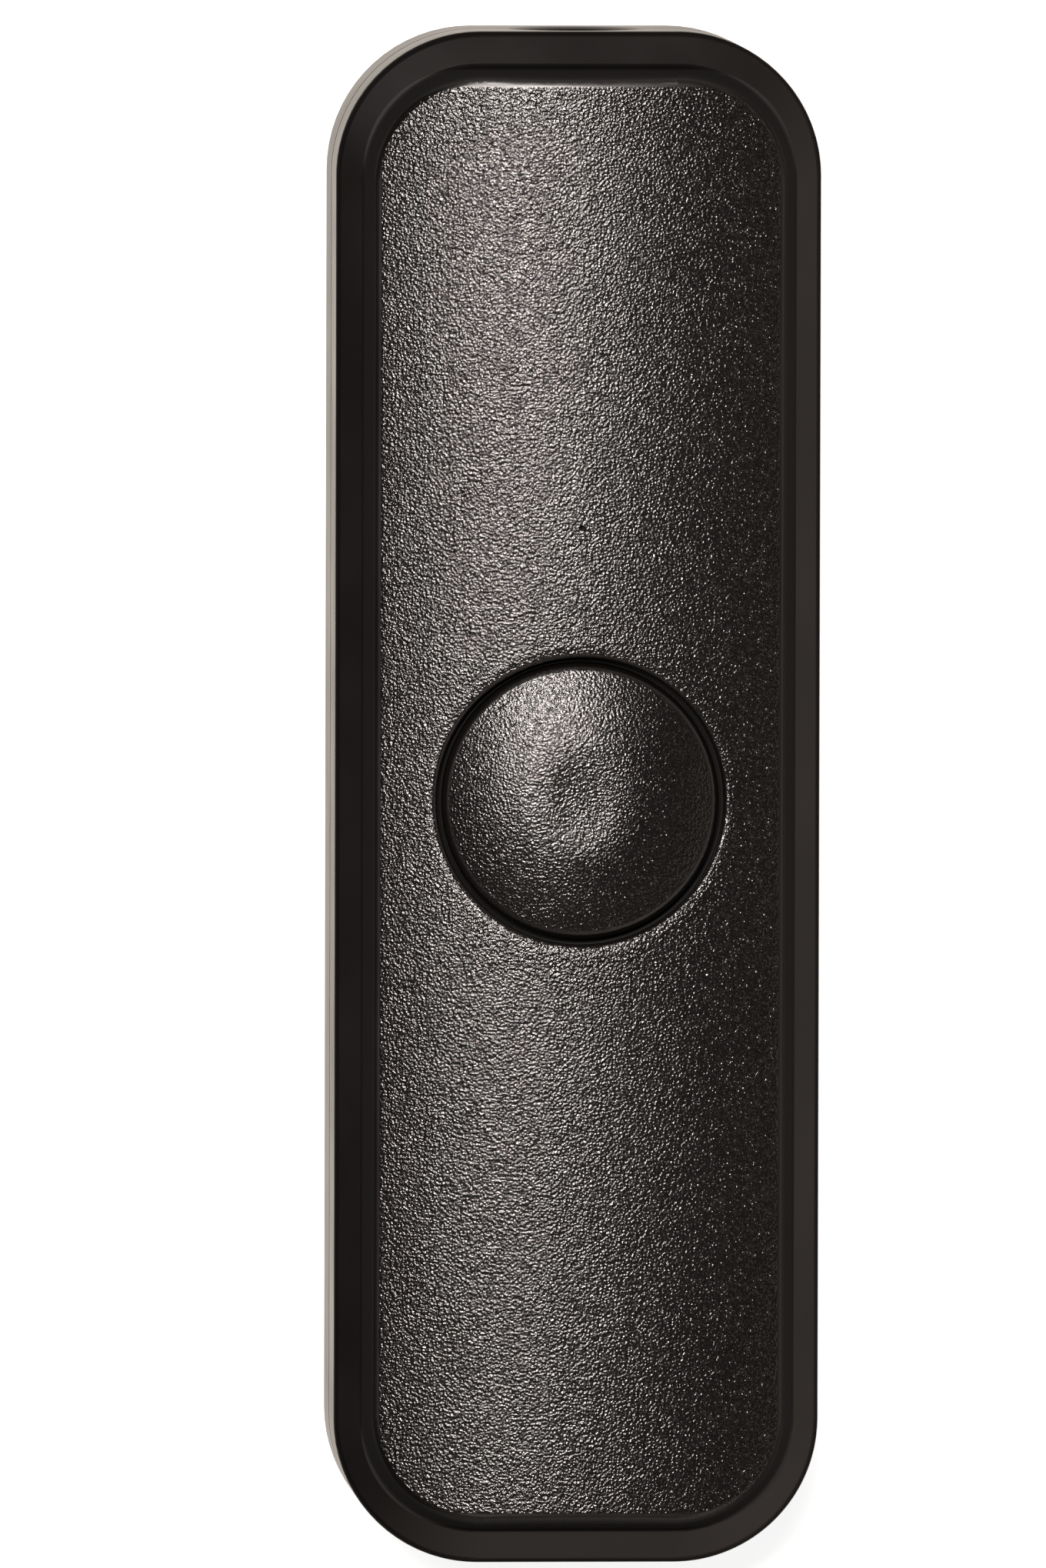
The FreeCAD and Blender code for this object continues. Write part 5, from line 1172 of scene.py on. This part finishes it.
@dataclass
class Board:
    """Circuit board with the solder joints of its wired parts."""

    base: float = 5.4 * MM
    pad_radius: float = 1.05 * MM
    joint_height: float = 0.75 * MM
    lead_radius: float = 0.32 * MM
    cone_steps: int = 6
    cone_sides: int = 16
    joints: tuple[Pair, ...] = (
        (-2.5, 31.8), (2.5, 31.8), (-2.5, -31.8), (2.5, -31.8),
        (4.8, 20.05), (9.4, 20.05), (-9.8, -18.9), (-4.3, -18.9),
        (1.9, -19.9), (1.9, -17.9), (-9.6, 20.05), (-4.6, 20.05),
    )

    def build(self) -> None:
        """Dress the board and its screws and add the joints."""
        dress("circuit_board", BOARD)
        dress("board_screws", SCREW_STEEL)
        piece("solder_joints", self.solder, SOLDER)

    def solder(self, shape: bmesh.types.BMesh) -> None:
        """Add a hollow-sided cone of solder round each lead under the board.

        Args:
            shape: The mesh that gets them.
        """
        foot = self.base - self.joint_height
        outline = [(0.0, foot), (self.lead_radius, foot)]
        for k in range(1, self.cone_steps + 1):
            share = k / self.cone_steps
            radius = self.lead_radius + (self.pad_radius - self.lead_radius) * share ** 2
            outline.append((radius, self.base - self.joint_height * (1 - share)))
        outline.append((0.0, self.base))
        for x, y in self.joints:
            lathe(shape, outline, x * MM, y * MM, self.cone_sides)


@dataclass
class Indicator:
    """Indicator light on the board and the guide up to the pinhole."""

    def build(self) -> None:
        """Dress the light and its guide."""
        dress("indicator_led", LENS_EPOXY)
        dress("light_guide", GUIDE_ACRYLIC)


@dataclass
class CordEnd:
    """Terminal block and cord clamp at one end of the board."""

    end: End

    def build(self) -> None:
        """Dress the block, its cages and the clamp with all their screws."""
        dress(f"{self.end.value}_terminal_block", TERMINAL_POLYAMIDE)
        dress(f"{self.end.value}_terminal_cages", CAGE_BRASS)
        dress(f"{self.end.value}_terminal_screws", SCREW_STEEL)
        dress(f"{self.end.value}_cord_clamp", CLAMP_POLYAMIDE)
        dress(f"{self.end.value}_clamp_screws", SCREW_STEEL)


@dataclass
class Choke:
    """Drum core with its wound copper wire."""

    x: float = -7.1 * MM
    y: float = 20.05 * MM
    base: float = 8.05 * MM
    top: float = 12.35 * MM
    radius: float = 3.4 * MM
    wire_radius: float = 0.18 * MM
    pitch_ratio: float = 2.04
    drum_ratio: float = 0.6
    steps_per_turn: int = 28
    wire_sides: int = 8
    drum_sides: int = 48

    def build(self) -> None:
        """Dress the core and wind the wire."""
        dress("choke_core", FERRITE)
        coil = piece("choke_coil", self.wind, WIRE_COPPER)
        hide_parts("choke_winding")

    def wind(self, shape: bmesh.types.BMesh) -> None:
        """Add the outer layer of wire as one helix, over a drum of the layers below it.

        Args:
            shape: The mesh that gets it.
        """
        reach = self.radius - self.wire_radius
        climb = self.top - self.base - 2 * self.wire_radius
        turns = climb / (self.pitch_ratio * self.wire_radius)
        count = int(turns * self.steps_per_turn)
        rings = []
        for k in range(count + 1):
            angle = 2 * math.pi * k / self.steps_per_turn
            height = self.base + self.wire_radius + climb * k / count
            ring = []
            for s in range(self.wire_sides):
                around = 2 * math.pi * s / self.wire_sides
                out = reach + self.wire_radius * math.cos(around)
                ring.append(shape.verts.new((
                    self.x + out * math.cos(angle), self.y + out * math.sin(angle),
                    height + self.wire_radius * math.sin(around),
                )))
            rings.append(ring)
        for near, far in zip(rings, rings[1:]):
            for s in range(self.wire_sides):
                n = (s + 1) % self.wire_sides
                shape.faces.new((near[s], far[s], far[n], near[n]))
        shape.faces.new(rings[0])
        shape.faces.new(rings[-1][::-1])
        inner = reach - self.drum_ratio * self.wire_radius
        drum = [(0.0, self.base), (inner, self.base), (inner, self.top), (0.0, self.top)]
        lathe(shape, drum, self.x, self.y, self.drum_sides)


def with_metal_ends(node: str, body_half: Point, colour: str, speck: str, name: str) -> MetalEnds:
    """Make the finish of a part whose metal ends lie beyond its body.

    Args:
        node: The node, whose box gives the middle.
        body_half: Half the body's size along X, Y and Z, in metres.
        colour: Hex colour of the body.
        speck: Hex colour of its specks.
        name: The finish's name.

    Returns:
        The finish.
    """
    low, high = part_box(node)
    middle = tuple(0.5 * (low + high))
    return MetalEnds(
        name=name, colour=colour, speck=speck, roughness=0.5, ior=1.55, middle=middle, half_body=body_half,
    )


@dataclass
class BoardParts:
    """Parts on the board other than the switch, the choke and the terminals."""

    # Half sizes of the bodies between the metal ends, and more than the whole part the other ways
    fuse_half: Point = (9 * MM, 2.9 * MM, 9 * MM)
    chip_half: Point = (1.5 * MM, 9 * MM, 9 * MM)

    def build(self) -> None:
        """Dress every part."""
        # Moulded epoxy of the transistors and diodes: dull black with fine silica specks
        epoxy = Speckled(
            name="epoxy_black_moulded", colour="#1b1b1c", speck="#2c2c2d", roughness=0.55, ior=1.55,
            grain_mm=0.18,
        )
        dress("power_transistors", epoxy)
        dress("rectifier_diodes", epoxy)
        # Fired ceramic of the square fuse: chalky cream, with plated end caps beyond it
        dress("fuse", with_metal_ends("fuse", self.fuse_half, "#d8d2c4", "#c6bfae", "ceramic_fuse_fired"))
        # Moulded epoxy of the control chip: dull black, with bright tinned leads beyond it
        dress("control_chip", with_metal_ends(
            "control_chip", self.chip_half, "#1b1b1c", "#2c2c2d", "epoxy_black_chip",
        ))
        # Fired black glaze of the chip resistors: smoother and glossier than the epoxy
        dress("chip_resistors", Speckled(
            name="glaze_black_fired", colour="#202124", speck="#34353a", roughness=0.35, ior=1.6,
            grain_mm=0.15,
        ))
        dress("varistor", VARISTOR_EPOXY)
        dress("film_capacitor", FILM_CASE)
        # Shrunk vinyl sleeve of the electrolytic capacitor: dark blue, glossy, slightly puckered
        dress("electrolytic_capacitor", MouldedPlastic(
            name="sleeve_dark_blue_shrunk", colour="#20263c", pale="#272e47", roughness=0.3, ior=1.54,
            grain_mm=0.4, grain_depth_mm=0.003,
        ))


@dataclass
class PhotoCamera:
    """Long-lens camera nearly straight above the part, a little to its left and towards its top."""

    place: Point = (-0.128257, 0.119467, 2.131743)
    aim: Point = (-0.003596, 0.000921, 0.0142)
    roll: float = 0.002417
    lens_mm: float = 740.67
    sensor_mm: float = 36.0

    def build(self) -> bpy.types.Object:
        """Make the camera and set it as the scene's own.

        Returns:
            The camera.
        """
        data = bpy.data.cameras.new("photo_camera")
        data.sensor_fit = "VERTICAL"
        data.sensor_height = self.sensor_mm
        data.lens = self.lens_mm
        camera = bpy.data.objects.new("photo_camera", data)
        bpy.context.scene.collection.objects.link(camera)
        ahead = (Vector(self.aim) - Vector(self.place)).normalized()
        right = ahead.cross(Vector((0.0, 1.0, 0.0))).normalized()
        above = right.cross(ahead)
        right, above = (
            right * math.cos(self.roll) + above * math.sin(self.roll),
            above * math.cos(self.roll) - right * math.sin(self.roll),
        )
        turn = Matrix((right, above, -ahead)).transposed().to_4x4()
        camera.matrix_world = Matrix.Translation(self.place) @ turn
        bpy.context.scene.camera = camera
        distance = (Vector(self.aim) - Vector(self.place)).length
        LOG.info("camera: %.0f mm lens at %.2f m", self.lens_mm, distance)
        return camera


@dataclass(frozen=True)
class Softbox:
    """One rectangular soft lamp that points at the part."""

    name: str
    place: Point
    width: float
    height: float
    power: float
    tint: Point = (1.0, 0.92, 0.88)

    def build(self) -> bpy.types.Object:
        """Make the lamp.

        Returns:
            The lamp's object.
        """
        data = bpy.data.lights.new(self.name, "AREA")
        data.shape = "RECTANGLE"
        data.size = self.width
        data.size_y = self.height
        data.energy = self.power
        data.color = self.tint
        lamp = bpy.data.objects.new(self.name, data)
        bpy.context.scene.collection.objects.link(lamp)
        lamp.location = self.place
        to_part = Vector((0.0, 0.0, 0.0)) - Vector(self.place)
        lamp.rotation_euler = to_part.to_track_quat("-Z", "Y").to_euler()
        LOG.info("lamp %s: %.2f W", self.name, self.power)
        return lamp


@dataclass
class Studio:
    """White paper under the part, a dim room round it and one soft lamp above it."""

    paper_half: float = 3.0
    # A hair below the part's bottom face, so that the two never lie in one plane
    paper_level: float = -0.03 * MM
    ambient: float = 0.12
    # Upward slope of a direction, from the dark foot of the walls to where they glow in full
    low_walls: Pair = (0.34, 0.5)
    low_share: float = 0.15
    # The same towards the walls from the dark ceiling, which leans to the right and the top
    walls: Pair = (0.86, 0.7)
    dark_lean: Point = (0.2, 0.1, 1.0)
    # How much the walls glow in the middle, and how much more towards +X and +Y
    wall_glow: float = 0.35
    glow_to_right: float = 0.95
    glow_to_top: float = -0.28
    wall_tint: str = "#ffeee5"
    lamps: tuple[Softbox, ...] = (
        Softbox("key_softbox", (-0.084, 0.138, 0.68), 0.2, 0.14, 5.25),
    )

    def build(self) -> None:
        """Lay the paper, light the room, hang the lamps and set the view transform."""
        self.lay_paper()
        self.light_room()
        for lamp in self.lamps:
            lamp.build()
        bpy.context.scene.view_settings.view_transform = "Standard"

    def lay_paper(self) -> None:
        """Lay the sheet of paper on which the part rests."""
        mesh = bpy.data.meshes.new("backing_paper")
        half, level = self.paper_half, self.paper_level
        corners = [(-half, -half, level), (half, -half, level), (half, half, level), (-half, half, level)]
        mesh.from_pydata(corners, [], [(0, 1, 2, 3)])
        mesh.materials.append(PAPER.material())
        paper = bpy.data.objects.new("backing_paper", mesh)
        bpy.context.scene.collection.objects.link(paper)

    def light_room(self) -> None:
        """Make a room whose walls glow more on the right, under a dark ceiling.

        The camera sees it as white, and glossy surfaces see dark corners near the floor.
        """
        world = bpy.data.worlds.new("studio_room")
        bpy.context.scene.world = world
        world.use_nodes = True
        tree = world.node_tree
        tree.nodes.clear()
        camera, mirrored = ray_kinds(tree)
        direction = add_node(tree, "ShaderNodeTexCoord", output="Generated")
        height = add_node(tree, "ShaderNodeSeparateXYZ", {0: direction}, output="Z")
        low = add_node(tree, "ShaderNodeMapRange", {
            "Value": height, "From Min": self.low_walls[0], "From Max": self.low_walls[1],
            "To Min": self.low_share, "To Max": 1.0,
        })
        side = add_node(tree, "ShaderNodeVectorMath", {
            0: direction, 1: (self.glow_to_right, self.glow_to_top, 0.0),
        }, output="Value", operation="DOT_PRODUCT")
        glow = add_node(tree, "ShaderNodeMath", {0: side, 1: self.wall_glow}, operation="ADD", use_clamp=True)
        leaning = add_node(tree, "ShaderNodeVectorMath", {
            0: direction, 1: self.dark_lean,
        }, output="Value", operation="DOT_PRODUCT")
        walls = add_node(tree, "ShaderNodeMapRange", {
            "Value": leaning, "From Min": self.walls[0], "From Max": self.walls[1], "To Max": glow,
        })
        reflected = add_node(tree, "ShaderNodeMath", {0: walls, 1: low}, operation="MULTIPLY")
        level = add_node(tree, "ShaderNodeMix", {0: mirrored, 2: self.ambient, 3: reflected})
        level = add_node(tree, "ShaderNodeMath", {0: level, 1: camera}, operation="MAXIMUM")
        colour = add_node(tree, "ShaderNodeMix", {
            0: mirrored, 6: (1.0, 1.0, 1.0, 1.0), 7: linear(self.wall_tint),
        }, output=2, data_type="RGBA")
        background = add_node(tree, "ShaderNodeBackground", {"Color": colour, "Strength": level})
        add_node(tree, "ShaderNodeOutputWorld", {"Surface": background})


def main() -> None:
    """Dress the part, then set the camera and the studio."""
    logging.basicConfig(level=logging.INFO, format="%(name)s: %(message)s")
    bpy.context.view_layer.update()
    for assembly in (
        Casing(), PushButton(), PushSwitch(), Board(), Indicator(),
        CordEnd(End.INPUT), CordEnd(End.OUTPUT), Choke(), BoardParts(),
    ):
        assembly.build()
    PhotoCamera().build()
    Studio().build()


if __name__ == "__main__":
    main()
